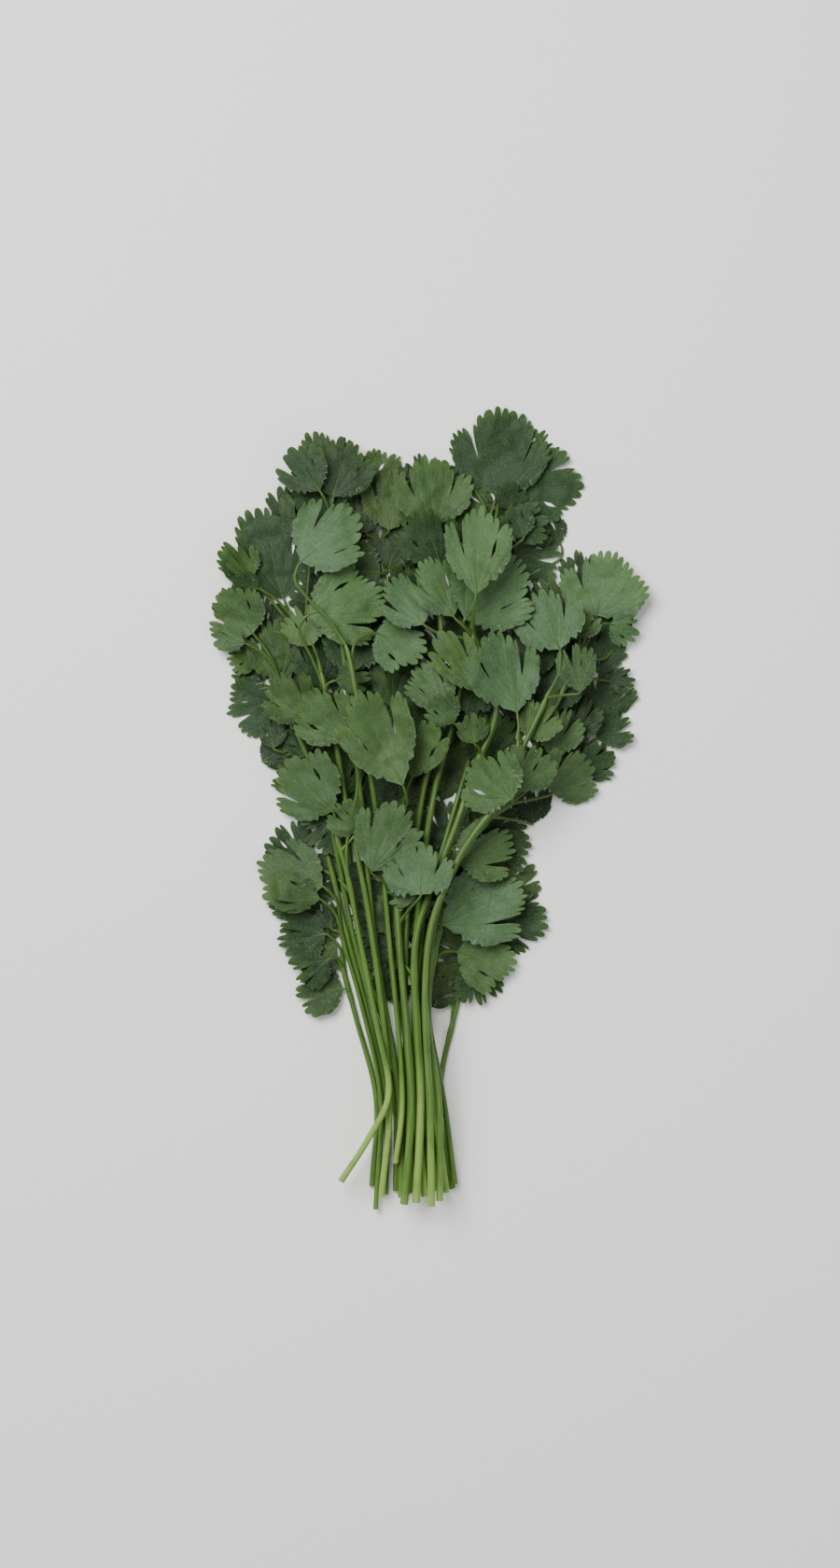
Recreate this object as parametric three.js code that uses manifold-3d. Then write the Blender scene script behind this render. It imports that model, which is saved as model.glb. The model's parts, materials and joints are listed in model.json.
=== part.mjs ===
// A bunch of fresh coriander lying on a flat surface: twenty-two leafy stems, each a stalk with its fan-shaped leaflets.
// Millimetres, +X across the bunch, +Y from the cut ends towards the leaf tips, +Z up.

import * as THREE from "three";
import { mergeVertices } from "three/addons/utils/BufferGeometryUtils.js";
import Module from "manifold-3d";

const wasm = await Module();
wasm.setup();

// Driving dimensions
const bladeThickness = 0.75;
const clearance = 0.45; // between one leafy stem and the next
const stalkSides = 5;
const leafStalkSides = 4;
const ringStep = 17; // along a stalk
const leafStalkStep = 9; // along a leaflet's stalk
const stationStep = 1.5; // at which a stalk is kept clear of what lies under it
const stalkTaper = 0.72; // radius at the fork, as a share of the radius at the cut end
const leafStalkRadius = 0.8;
const midribRadius = 0.3;
const midribLength = 0.13; // share of the leaflet's reach
const cellSize = 1; // of the height map that the pile is built up on
const pileHalfWidth = 110;
const pileHalfLength = 185;
const drape = 0.55; // how far a leaflet follows what lies under it, and the rest is a plane
const steepest = 0.42; // slope of that plane
const bunchMiddle = [1.7, 0.6]; // middle of the bunch in the layout's coordinates

// Colours of the three sorts of leaflet, with their stalks
const shades = {
  pale: new THREE.MeshStandardMaterial({ color: 0x72905f, roughness: 0.62, metalness: 0 }),
  mid: new THREE.MeshStandardMaterial({ color: 0x56713f, roughness: 0.6, metalness: 0 }),
  dark: new THREE.MeshStandardMaterial({ color: 0x3c5634, roughness: 0.58, metalness: 0 }),
};

// The leafy stems, from the lowest in the pile to the highest. girth is the stalk's radius at its cut end, and route
// runs from there to the fork. A leaflet is [base x, base y, tip x, tip y, spread in degrees, cup, curl], where cup
// lifts its sides and curl its tip, as shares of its reach. A leaflet with 0 for both and "flat" lies on the surface.
const stems = [
  { name: "stem_low_left", shade: "dark", girth: 1.45,
    route: [[-20.5, -151], [-19, -116], [-27, -84], [-34, -58]],
    leaves: [[-41, -41, -62, -37, 116, 0.08, 0.05], [-39, -50, -59, -53, 116, 0.12, 0.03],
      [-38, -60, -51, -69, 110, 0.08, 0.05]] },
  { name: "stem_low_right", shade: "dark", girth: 1.45,
    route: [[11.5, -152], [6.2, -116], [12, -84], [20, -56]],
    leaves: [[28, -44, 50, -45.5, 134, 0.05, 0.03], [19, -62, 24, -79, 120, 0.1, 0.05],
      [23, -9, 42, -7, 136, 0.06, 0.08]] },
  { name: "stem_far_left", shade: "dark", girth: 1.5,
    route: [[-15.5, -154], [-15.4, -116], [-31, -49], [-43, -2], [-54, 28], [-58, 39]],
    leaves: [[-61, 43, -79, 38, 146, 0.08, 0.05], [-44, 25, -57, 30, 120, 0.1, 0.05],
      [-67, 61, -79, 60, 130, 0.1, 0.1], [-57, 50, -60, 76, 100, 0.06, 0.04]] },
  { name: "stem_far_right", shade: "dark", girth: 1.5,
    route: [[7, -153], [2.6, -116], [-1, -70], [3, -45], [17, -15], [36, 5], [56, 21]],
    leaves: [[70.5, 37, 77, 57, 116, 0.08, 0.04], [69, 28, 83, 36, 100, 0.12, 0.05],
      [64, 16, 77, 21, 130, 0.08, 0.03], [58, 27, 66, 45, 96, 0.05, 0.03], [50, 38, 55, 63, 104, 0.06, 0.04]] },
  { name: "stem_top_middle_dark", shade: "dark", girth: 1.4,
    route: [[-2, -153.5], [-4.6, -116], [-12, -49], [-13, 10], [-14, 70], [-18, 112]],
    leaves: [[7, 3, 16, 29, 76, 0, 0, "flat"], [-22, 127, -9, 141, 130, 0.06, 0.04],
      [-14, 96, -8, 117, 120, 0.05, 0.05], [-9, 74, -8, 98, 110, 0.05, 0.05],
      [-6, -52, -14, -29, 100, 0.05, 0.03], [-24, 34, -26, 58, 110, 0.08, 0.04],
      [-13, 40, -5, 64, 106, 0.06, 0.04], [-14, 111, -12, 136, 104, 0.06, 0.04],
      [-2, 28, 9, 54, 104, 0.05, 0.04]] },
  { name: "stem_top_left_dark", shade: "dark", girth: 1.5,
    route: [[-6.5, -154], [-8.2, -116], [-26, -49], [-33, 10], [-45, 58], [-51, 75]],
    leaves: [[-56, 84, -68, 121, 112, 0.1, 0.06], [-68, 93, -75, 105, 96, 0.3, 0.1],
      [-66, 88, -76, 92, 110, 0.1, 0.05], [-35, 3, -32, 28, 92, 0.05, 0.03], [-41, 48, -43, 73, 104, 0.06, 0.05],
      [-28, 54, -28, 79, 110, 0.06, 0.04], [-45, 104, -44, 132, 104, 0.07, 0.04]] },
  { name: "stem_top_right_dark", shade: "dark", girth: 1.45,
    route: [[3, -154], [-1, -116], [-1, -49], [10, -8], [22, 34], [32, 84], [34, 98]],
    leaves: [[39, 130, 64, 128, 130, 0.06, 0.05], [36, 101, 55, 103, 126, 0.1, 0.05],
      [34, 112, 50, 116, 110, 0.05, 0.06], [22, 15, 33, 38, 104, 0.05, 0.04], [38, 52, 44, 79, 110, 0.06, 0.05],
      [21, 95, 17, 122, 104, 0.06, 0.04],
      [17, 38, 22, 63, 112, 0.06, 0.04]] },
  { name: "stem_left_edge", shade: "mid", girth: 1.35,
    route: [[-11.1, -153], [-11.8, -116], [-28.5, -49], [-39, 2], [-50, 30], [-59, 58]],
    leaves: [[-68, 70, -82, 86, 130, 0.1, 0.06], [-47, 36, -60, 53, 116, 0.1, 0.04],
      [-71, 66, -85, 70, 84, 0.14, 0.04]] },
  { name: "stem_top_left_fold", shade: "dark", girth: 1.45,
    route: [[-9, -155], [-10, -116], [-20, -49], [-26, 14], [-33, 70], [-37, 110]],
    leaves: [[-38, 128, -45, 151, 110, 0.08, 0.04], [-36, 124, -31, 148, 124, 0.05, 0.05],
      [-41, 126, -54, 144, 90, 0.35, 0.05]] },
  { name: "stem_top_right", shade: "dark", girth: 1.6,
    route: [[0.5, -154.5], [-2.8, -116], [-2.8, -49], [4.1, 6], [11, 32], [19, 72], [26, 108]],
    leaves: [[30, 125, 33, 161, 122, 0.06, 0.05], [40, 108, 34, 121, 110, 0.1, 0.05]] },
  { name: "stem_top_middle", shade: "mid", girth: 1.6,
    route: [[-4.5, -153], [-6.4, -116], [-7, -49], [-0.4, 6], [5.5, 32], [7, 70], [5, 92]],
    leaves: [[4, 113, 3, 141, 120, 0.07, 0.05], [7, 97, -2, 119, 110, 0.1, 0.05],
      [9, 40, -2, 58, 100, 0.06, 0.04]] },
  { name: "stem_low_left_pale", shade: "mid", girth: 1.2,
    route: [[-19.2, -160], [-17.2, -116], [-25, -78], [-35, -44]],
    leaves: [[-40, -31, -66, -20, 104, 0.07, 0.05], [-41, -36, -62, -31, 80, 0.06, 0.04]] },
  { name: "stem_right", shade: "pale", girth: 1.5,
    route: [[5, -152], [0.8, -116], [1, -70], [6, -42], [20, -10], [34, 8], [50, 36], [63, 64]],
    leaves: [[69, 77, 74, 103, 154, 0.07, 0.04], [74, 74, 86, 69, 110, 0.1, 0.05],
      [62, 68, 66, 80, 110, 0.06, 0.03]] },
  { name: "stem_low_right_pale", shade: "mid", girth: 1.4,
    route: [[12.4, -150], [8, -116], [2, -80], [5, -56], [9, -38], [10.5, -28]],
    leaves: [[13, -57, 37, -63, 110, 0.08, 0.04], [7, -46, 40, -31, 96, 0.07, 0.03],
      [13, -21, 36, -12, 110, 0.06, 0.05]] },
  { name: "stem_right_middle", shade: "mid", girth: 1.5,
    route: [[9, -152.8], [4.4, -116], [2, -72], [6, -38], [15, -18], [24, -5], [36, 3], [43, 8]],
    leaves: [[50, 21, 58, 40, 90, 0.12, 0.05], [51, 6, 66, 21, 128, 0.08, 0.06],
      [41, 28, 51, 42, 110, 0.06, 0.03]] },
  { name: "stem_left_up", shade: "pale", girth: 1.5,
    route: [[-16.8, -154.7], [-13.6, -116], [-20.7, -50], [-25.5, -23], [-31, 3], [-36, 32], [-42, 60]],
    leaves: [[-44, 65, -52, 81, 110, 0.08, 0.04], [-35, 51, -21, 53, 100, 0.1, 0.04],
      [-46, 77, -15.5, 85, 110, 0.07, 0.04]] },
  { name: "stem_left_middle", shade: "mid", girth: 1.45,
    route: [[-32.9, -148], [-22, -131], [-14, -114], [-19, -84], [-26, -49], [-30, -28], [-36, -6]],
    leaves: [[-36, -1, -57, 18, 110, 0.08, 0.04], [-26, -9, -36, 2, 116, 0.1, 0.05],
      [-31, 27, -47, 46, 110, 0.08, 0.03]] },
  { name: "stem_right_up", shade: "pale", girth: 1.55,
    route: [[6.3, -155.4], [6, -116], [0.5, -75], [4, -44], [17, -14], [30, 6], [42, 30], [52, 52]],
    leaves: [[62, 46, 59.5, 66, 88, 0.1, 0.05], [54, 63, 45, 87, 116, 0.07, 0.04]] },
  { name: "stem_pale_top", shade: "pale", girth: 1.35,
    route: [[-11.1, -141], [-8.5, -116], [-14, -49], [-18, -8], [-24, 30], [-30, 62], [-37, 80]],
    leaves: [[-19, 70, 0.5, 61.5, 136, 0.08, 0.04], [-49, 98, -26.5, 118.5, 112, 0.08, 0.05]] },
  { name: "stem_three_fold", shade: "pale", girth: 1.85,
    route: [[-3, -156.5], [-1.2, -116], [-3.3, -53], [2.2, -34], [11.5, -10], [16, 3], [21.5, 19],
      [27, 31], [29.2, 43], [27, 54], [20, 68], [16.5, 74]],
    leaves: [[21.5, 46, 6, 71, 66, 0.16, 0.03], [12, 34, 3, 45, 110, 0.12, 0.05],
      [20, 26, 18, 38, 120, 0.12, 0.04], [0, 73, -14, 92, 104, 0.07, 0.05], [12, 76, -1, 99, 84, 0.06, 0.05],
      [16, 75, 38.5, 99, 116, 0.06, 0.05], [20.5, 84, 22, 120, 76, 0.05, 0.04]] },
  { name: "stem_centre_right", shade: "pale", girth: 1.6,
    route: [[3, -157.2], [2.4, -116], [0.5, -70], [3.5, -44], [14, -19], [24, -4], [33, 6], [37, 22], [37.5, 33]],
    leaves: [[37, 7, 45, 26, 116, 0.08, 0.04], [37, 38, 28, 70, 94, 0.1, 0.05],
      [35, 4, 18, 19, 130, 0.07, 0.03]] },
  { name: "stem_centre", shade: "mid", girth: 1.85,
    route: [[-7.8, -156.8], [-4.9, -116], [-10, -49], [-11, -14], [-9, 0], [-8, 6]],
    leaves: [[-21, -25, -9, 3, 96, 0.07, 0.04], [-5, 12, 4, 35, 76, 0.1, 0.05],
      [-3, -35, -15, -31, 110, 0.1, 0.03], [-1, -34, -3, -13, 146, 0.08, 0.04],
      [-8, 9, -27, 46, 74, 0.07, 0.05]] },
];

// A number from 0 to 1 that depends only on its argument.
function draw(number) {
  const value = Math.sin(number * 127.1) * 43758.5453;
  return value - Math.floor(value);
}

function mix(from, to, share) {
  return from + (to - from) * share;
}

// The height of the pile over every point of the surface.
class HeightMap {
  constructor() {
    this.columns = Math.round((2 * pileHalfWidth) / cellSize) + 1;
    this.rows = Math.round((2 * pileHalfLength) / cellSize) + 1;
    this.top = new Float32Array(this.columns * this.rows);
  }

  cell(x, y) {
    const column = Math.floor((x + pileHalfWidth) / cellSize);
    const row = Math.floor((y + pileHalfLength) / cellSize);
    return row * this.columns + column;
  }

  highest(x, y) {
    const first = this.cell(x, y);
    const above = first + this.columns;
    return Math.max(this.top[first], this.top[first + 1], this.top[above], this.top[above + 1]);
  }

  raise(x, y, z) {
    const first = this.cell(x, y);
    for (const index of [first, first + 1, first + this.columns, first + this.columns + 1]) {
      this.top[index] = Math.max(this.top[index], z);
    }
  }

  // The height between the cells' middles.
  level(x, y) {
    const first = this.cell(x, y);
    const across = (x + pileHalfWidth) / cellSize - Math.floor((x + pileHalfWidth) / cellSize);
    const along = (y + pileHalfLength) / cellSize - Math.floor((y + pileHalfLength) / cellSize);
    const near = mix(this.top[first], this.top[first + 1], across);
    const far = mix(this.top[first + this.columns], this.top[first + this.columns + 1], across);
    return mix(near, far, along);
  }

  // A copy in which each cell holds what combine makes of the cells within reach, first across and then along.
  swept(reach, combine) {
    const result = new HeightMap();
    const half = Math.round(reach / cellSize);
    const across = new Float32Array(this.top.length);
    for (let row = 0; row < this.rows; row++) {
      for (let column = 0; column < this.columns; column++) {
        const from = row * this.columns + Math.max(0, column - half);
        const to = row * this.columns + Math.min(this.columns - 1, column + half);
        across[row * this.columns + column] = combine(this.top, from, to, 1);
      }
    }
    for (let row = 0; row < this.rows; row++) {
      for (let column = 0; column < this.columns; column++) {
        const from = Math.max(0, row - half) * this.columns + column;
        const to = Math.min(this.rows - 1, row + half) * this.columns + column;
        result.top[row * this.columns + column] = combine(across, from, to, this.columns);
      }
    }
    return result;
  }
}

function greatest(values, from, to, step) {
  let most = values[from];
  for (let index = from; index <= to; index += step) {
    most = Math.max(most, values[index]);
  }
  return most;
}

function average(values, from, to, step) {
  let total = 0;
  let count = 0;
  for (let index = from; index <= to; index += step) {
    total += values[index];
    count += 1;
  }
  return total / count;
}

// The outline of a leaflet, from one side of its fan to the other. Across the fan, place runs from -1 to 1. Each
// notch between two teeth has a shoulder on either side, and two of the notches are the slits between the lobes.
function fanOutline(leaf) {
  const teeth = leaf.reach > 21 ? 7 : leaf.reach > 14.5 ? 5 : 3;
  const slits = { 7: [2, 5], 5: [2, 3], 3: [1, 2] }[teeth];
  const fall = mix(0.3, 0.42, draw(leaf.seed + 1));
  const skew = 0.12 * (draw(leaf.seed + 2) - 0.5);
  const edge = (place) => leaf.reach * (1 - fall * Math.abs(place) ** 2.4 + skew * place);
  const points = [[-1, edge(-1) * 0.95]];
  for (let notch = 1; notch < teeth; notch++) {
    const slit = slits.includes(notch);
    const middle = -1 + (2 * notch) / teeth + 0.06 * (draw(leaf.seed + 3 + notch) - 0.5);
    const halfWidth = (slit ? 0.04 : 0.05) + 0.02 * draw(leaf.seed + 13 + notch);
    const depth = slit ? mix(0.3, 0.45, draw(leaf.seed + 23 + notch)) : mix(0.08, 0.16, draw(leaf.seed + 33 + notch));
    points.push([middle - halfWidth, edge(middle - halfWidth)]);
    points.push([middle, edge(middle) * (1 - depth)]);
    points.push([middle + halfWidth, edge(middle + halfWidth)]);
  }
  points.push([1, edge(1) * 0.95]);
  return points;
}

// One face of a leaflet: its corners in the plane and its triangles. The base comes first, then a row across the
// middle of the fan, then the outline.
function fanFace(leaf) {
  const outline = fanOutline(leaf);
  const rowCount = leaf.reach > 21 ? 4 : 3;
  const places = [{ place: 0, reach: 0 }];
  for (let index = 0; index < rowCount; index++) {
    const place = -1 + (2 * index) / (rowCount - 1);
    places.push({ place, reach: leaf.reach * 0.44 * (1 - 0.14 * place * place) });
  }
  outline.forEach(([place, reach]) => places.push({ place, reach }));
  const corners = places.map(({ place, reach }) => {
    const angle = leaf.heading + (place * leaf.spread) / 2;
    return { place, reach, x: leaf.base[0] + reach * Math.cos(angle), y: leaf.base[1] + reach * Math.sin(angle) };
  });
  const triangles = [];
  for (let index = 1; index < rowCount; index++) {
    triangles.push([0, index, index + 1]);
  }
  let inner = 1;
  let outer = rowCount + 1;
  const last = corners.length - 1;
  while (inner < rowCount || outer < last) {
    const nextInner = inner < rowCount ? corners[inner + 1].place : 9;
    const nextOuter = outer < last ? corners[outer + 1].place : 9;
    if (nextOuter <= nextInner) {
      triangles.push([inner, outer, outer + 1]);
      outer += 1;
    } else {
      triangles.push([inner, outer, inner + 1]);
      inner += 1;
    }
  }
  const rim = [0, 1];
  for (let index = rowCount + 1; index <= last; index++) {
    rim.push(index);
  }
  rim.push(rowCount);
  return { corners, triangles, rim };
}

// Calls visit with points spread closely over a triangle, at the height of its middle surface.
function overTriangle(a, b, c, visit) {
  const longest = Math.max(Math.hypot(a.x - b.x, a.y - b.y), Math.hypot(b.x - c.x, b.y - c.y),
    Math.hypot(c.x - a.x, c.y - a.y));
  const steps = Math.ceil(longest / (0.7 * cellSize));
  for (let i = 0; i <= steps; i++) {
    for (let j = 0; j <= steps - i; j++) {
      const u = i / steps;
      const v = j / steps;
      const w = 1 - u - v;
      visit(a.x * w + b.x * u + c.x * v, a.y * w + b.y * u + c.y * v, a.z * w + b.z * u + c.z * v);
    }
  }
}

// The plane that lies closest to the pile under a leaflet, no steeper than a leaf would lie.
function restingPlane(corners, ground) {
  const middle = { x: 0, y: 0, z: 0 };
  for (const corner of corners) {
    middle.x += corner.x / corners.length;
    middle.y += corner.y / corners.length;
    middle.z += ground.level(corner.x, corner.y) / corners.length;
  }
  let [xx, xy, yy, xz, yz] = [1, 0, 1, 0, 0];
  for (const corner of corners) {
    const [x, y, z] = [corner.x - middle.x, corner.y - middle.y, ground.level(corner.x, corner.y) - middle.z];
    xx += x * x;
    xy += x * y;
    yy += y * y;
    xz += x * z;
    yz += y * z;
  }
  const scale = xx * yy - xy * xy;
  let slopeX = (xz * yy - yz * xy) / scale;
  let slopeY = (yz * xx - xz * xy) / scale;
  const slope = Math.hypot(slopeX, slopeY);
  if (slope > steepest) {
    slopeX *= steepest / slope;
    slopeY *= steepest / slope;
  }
  return (x, y) => middle.z + slopeX * (x - middle.x) + slopeY * (y - middle.y);
}

// Gives each corner of a leaflet its height: draped over the pile, with a shape of its own, and lifted clear.
function settleLeaf(leaf, face, pile) {
  const ground = pile.swept(3, greatest).swept(6, average);
  const plane = restingPlane(face.corners, ground);
  const wave = mix(0.025, 0.06, draw(leaf.seed + 43)) * leaf.reach;
  const phase = 6.3 * draw(leaf.seed + 44);
  const tilt = 0.36 * (draw(leaf.seed + 45) - 0.5);
  for (const corner of face.corners) {
    const out = corner.reach / leaf.reach;
    const side = Math.sin((corner.place * leaf.spread) / 2);
    const lie = leaf.cup * leaf.reach * side * side * out + leaf.curl * leaf.reach * out * out
      + wave * Math.sin(4.2 * corner.place + phase) * out * out + tilt * corner.reach * side;
    const under = mix(plane(corner.x, corner.y), ground.level(corner.x, corner.y), drape);
    corner.z = leaf.flat ? 0 : under + lie;
  }
  let lift = -Infinity;
  face.triangles.forEach(([a, b, c]) => overTriangle(face.corners[a], face.corners[b], face.corners[c], (x, y, z) => {
    const top = pile.highest(x, y);
    const lowest = top > 0 ? top + clearance : 0;
    lift = Math.max(lift, lowest - z);
  }));
  face.corners.forEach((corner) => { corner.z += lift + bladeThickness / 2; });
  face.triangles.forEach(([a, b, c]) => overTriangle(face.corners[a], face.corners[b], face.corners[c], (x, y, z) => {
    pile.raise(x, y, z + bladeThickness / 2);
  }));
}

function solidOf(geometry) {
  geometry.deleteAttribute("normal");
  geometry.deleteAttribute("uv");
  const merged = mergeVertices(geometry, 1e-5);
  return new wasm.Manifold(new wasm.Mesh({
    numProp: 3,
    vertProperties: new Float32Array(merged.attributes.position.array),
    triVerts: new Uint32Array(merged.index.array),
  }));
}

// A leaflet as a thin solid, with the same triangles on its upper and lower faces.
function leafSolid(face) {
  const count = face.corners.length;
  const positions = [];
  for (const side of [0.5, -0.5]) {
    face.corners.forEach((corner) => positions.push(corner.x, corner.y, corner.z + side * bladeThickness));
  }
  const indices = [];
  face.triangles.forEach(([a, b, c]) => indices.push(a, b, c, a + count, c + count, b + count));
  face.rim.forEach((corner, index) => {
    const next = face.rim[(index + 1) % face.rim.length];
    indices.push(corner, corner + count, next + count, corner, next + count, next);
  });
  const geometry = new THREE.BufferGeometry();
  geometry.setAttribute("position", new THREE.Float32BufferAttribute(positions, 3));
  geometry.setIndex(indices);
  return solidOf(geometry);
}

// A tapering rod of flat sides along rings, each with a middle and a radius. One of its flats is underneath.
function rodSolid(rings, sides) {
  const positions = [];
  const indices = [];
  const up = new THREE.Vector3(0, 0, 1);
  rings.forEach((ring, index) => {
    const before = rings[Math.max(0, index - 1)].middle;
    const after = rings[Math.min(rings.length - 1, index + 1)].middle;
    const along = new THREE.Vector3().subVectors(after, before).normalize();
    const across = new THREE.Vector3().crossVectors(along, up).normalize();
    const over = new THREE.Vector3().crossVectors(across, along);
    for (let side = 0; side < sides; side++) {
      const angle = (2 * Math.PI * (side + 0.5)) / sides - Math.PI / 2;
      const corner = ring.middle.clone()
        .addScaledVector(across, ring.radius * Math.cos(angle))
        .addScaledVector(over, ring.radius * Math.sin(angle));
      positions.push(corner.x, corner.y, corner.z);
    }
  });
  for (let index = 0; index < rings.length - 1; index++) {
    for (let side = 0; side < sides; side++) {
      const a = index * sides + side;
      const b = index * sides + ((side + 1) % sides);
      indices.push(a, b + sides, b, a, a + sides, b + sides);
    }
  }
  const end = (rings.length - 1) * sides;
  for (let side = 1; side < sides - 1; side++) {
    indices.push(0, side, side + 1, end, end + side + 1, end + side);
  }
  const geometry = new THREE.BufferGeometry();
  geometry.setAttribute("position", new THREE.Float32BufferAttribute(positions, 3));
  geometry.setIndex(indices);
  return solidOf(geometry);
}

// Points closely along a rod's rings, each with a middle and a radius.
function stationsOf(rings) {
  const stations = [];
  for (let index = 0; index < rings.length - 1; index++) {
    const [from, to] = [rings[index], rings[index + 1]];
    const steps = Math.ceil(from.middle.distanceTo(to.middle) / stationStep);
    for (let step = 0; step < steps; step++) {
      stations.push({
        middle: from.middle.clone().lerp(to.middle, step / steps),
        radius: mix(from.radius, to.radius, step / steps),
        ring: index + step / steps,
      });
    }
  }
  const last = rings[rings.length - 1];
  stations.push({ middle: last.middle.clone(), radius: last.radius, ring: rings.length - 1 });
  return stations;
}

// How high a rod's middle has to be at a station, to clear the surface and the leaflets and stalks under it.
function clearOf(station, leaves, laid) {
  const { x, y } = station.middle;
  let lowest = station.radius * Math.cos(Math.PI / stalkSides);
  for (const [stepX, stepY] of [[0, 0], [1, 0], [-1, 0], [0, 1], [0, -1]]) {
    const top = leaves.highest(x + stepX * station.radius, y + stepY * station.radius);
    if (top > 0) {
      lowest = Math.max(lowest, top + clearance + station.radius);
    }
  }
  for (const other of laid) {
    const apart = Math.hypot(other.middle.x - x, other.middle.y - y);
    const touching = other.radius + station.radius + clearance * 0.7;
    if (apart < touching) {
      lowest = Math.max(lowest, other.middle.z + Math.sqrt(touching * touching - apart * apart));
    }
  }
  return lowest;
}

// Lays a stalk along its route, over the leaflets and the stalks that are there already.
function layStalk(stem, leaves, laid) {
  const curve = new THREE.CatmullRomCurve3(stem.route.map(([x, y]) => new THREE.Vector3(x, y, 0)), false, "centripetal");
  const count = Math.round(curve.getLength() / ringStep) + 1;
  const rings = curve.getSpacedPoints(count - 1).map((middle, index) => {
    return { middle, radius: stem.girth * mix(1, stalkTaper, index / (count - 1)) };
  });
  const needed = new Array(count).fill(0);
  for (const station of stationsOf(rings)) {
    const lowest = clearOf(station, leaves, laid);
    for (let ring = Math.max(0, Math.ceil(station.ring - 1)); ring <= Math.min(count - 1, station.ring + 1); ring++) {
      needed[ring] = Math.max(needed[ring], lowest);
    }
  }
  const around = (values, index) => values.slice(Math.max(0, index - 1), index + 2);
  const raised = needed.map((height, index) => Math.max(...around(needed, index)));
  rings.forEach((ring, index) => {
    const near = around(raised, index);
    ring.middle.z = near.reduce((total, height) => total + height, 0) / near.length;
  });
  return rings;
}

// The small stalk that joins a leaflet to its stem: it leaves the stem along it and runs on into the blade as a midrib.
function layLeafStalk(leaf, face, stations, leaves, laid) {
  const base = new THREE.Vector3(face.corners[0].x, face.corners[0].y, face.corners[0].z);
  let nearest = 0;
  stations.forEach((station, index) => {
    if (station.middle.distanceTo(base) < stations[nearest].middle.distanceTo(base)) {
      nearest = index;
    }
  });
  const gap = stations[nearest].middle.distanceTo(base);
  const start = Math.max(1, Math.min(nearest, stations.length - 2) - Math.round((0.7 * gap) / stationStep));
  const from = stations[start].middle;
  const along = new THREE.Vector3().subVectors(stations[start + 1].middle, from).normalize();
  const heading = new THREE.Vector3(Math.cos(leaf.heading), Math.sin(leaf.heading), 0);
  const length = from.distanceTo(base);
  const curve = new THREE.CubicBezierCurve3(from, from.clone().addScaledVector(along, 0.4 * length),
    base.clone().addScaledVector(heading, -0.35 * length), base);
  const steps = Math.max(2, Math.min(5, Math.round(length / leafStalkStep)));
  const rings = curve.getPoints(steps).map((middle, index) => {
    return { middle, radius: mix(Math.min(leafStalkRadius, stations[start].radius * 0.85), leafStalkRadius * 0.85,
      index / steps) };
  });
  for (const station of stationsOf(rings)) {
    if (station.ring > 0.5 && station.ring < steps - 0.4) {
      const lowest = clearOf(station, leaves, laid);
      for (const index of [Math.floor(station.ring), Math.ceil(station.ring)]) {
        if (index > 0 && index < steps) {
          rings[index].middle.z = Math.max(rings[index].middle.z, lowest);
        }
      }
    }
  }
  const rise = bladeThickness * 0.3;
  rings[steps].middle.z += rise;
  const middleOfRow = face.corners.slice(1).reduce((best, corner) => {
    return Math.abs(corner.place) + Math.abs(corner.reach / leaf.reach - 0.44) < best.score
      ? { score: Math.abs(corner.place) + Math.abs(corner.reach / leaf.reach - 0.44), corner } : best;
  }, { score: 9, corner: null }).corner;
  const share = (midribLength * leaf.reach) / middleOfRow.reach;
  const inside = base.clone().addScaledVector(heading, midribLength * leaf.reach);
  inside.z = mix(base.z, middleOfRow.z, share) + rise * 0.4;
  rings.push({ middle: inside, radius: midribRadius });
  return rings;
}

function meshOf(solid, name, material) {
  const result = solid.getMesh();
  const geometry = new THREE.BufferGeometry();
  geometry.setAttribute("position", new THREE.BufferAttribute(new Float32Array(result.vertProperties), 3));
  geometry.setIndex(new THREE.BufferAttribute(new Uint32Array(result.triVerts), 1));
  geometry.computeVertexNormals();
  const mesh = new THREE.Mesh(geometry, material);
  mesh.name = name;
  return mesh;
}

function leafFrom(values, seed) {
  const [baseX, baseY, tipX, tipY, spread, cup, curl, flat] = values;
  return {
    base: [baseX, baseY],
    reach: Math.hypot(tipX - baseX, tipY - baseY),
    heading: Math.atan2(tipY - baseY, tipX - baseX),
    spread: THREE.MathUtils.degToRad(spread),
    cup,
    curl,
    flat: flat === "flat",
    seed,
  };
}

// Builds the pile up stem by stem. Each stalk is laid first, and its leaflets come down over it in their order.
function buildBunch() {
  const bunch = new THREE.Group();
  const pile = new HeightMap();
  const leaves = new HeightMap();
  const laid = [];
  let seed = 0;
  for (const stem of stems) {
    const rings = layStalk(stem, leaves, laid);
    const stations = stationsOf(rings);
    for (const station of stations) {
      for (const offset of [-0.9, -0.6, -0.3, 0, 0.3, 0.6, 0.9]) {
        pile.raise(station.middle.x + offset * station.radius, station.middle.y,
          station.middle.z + station.radius * Math.sqrt(1 - offset * offset));
      }
    }
    const before = new HeightMap();
    before.top.set(leaves.top);
    let solid = rodSolid(rings, stalkSides);
    for (const values of stem.leaves) {
      seed += 50;
      const leaf = leafFrom(values, seed);
      const face = fanFace(leaf);
      settleLeaf(leaf, face, pile);
      face.triangles.forEach(([a, b, c]) => overTriangle(face.corners[a], face.corners[b], face.corners[c],
        (x, y, z) => leaves.raise(x, y, z + bladeThickness / 2)));
      const leafStalk = layLeafStalk(leaf, face, stations, before, laid);
      for (const station of stationsOf(leafStalk)) {
        pile.raise(station.middle.x, station.middle.y, station.middle.z + station.radius);
        leaves.raise(station.middle.x, station.middle.y, station.middle.z + station.radius);
      }
      solid = solid.add(leafSolid(face)).add(rodSolid(leafStalk, leafStalkSides));
    }
    laid.push(...stations);
    bunch.add(meshOf(solid, stem.name, shades[stem.shade]));
  }
  bunch.position.set(-bunchMiddle[0], -bunchMiddle[1], 0);
  return bunch;
}

const group = new THREE.Group();
group.add(buildBunch());

export default group;
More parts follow.
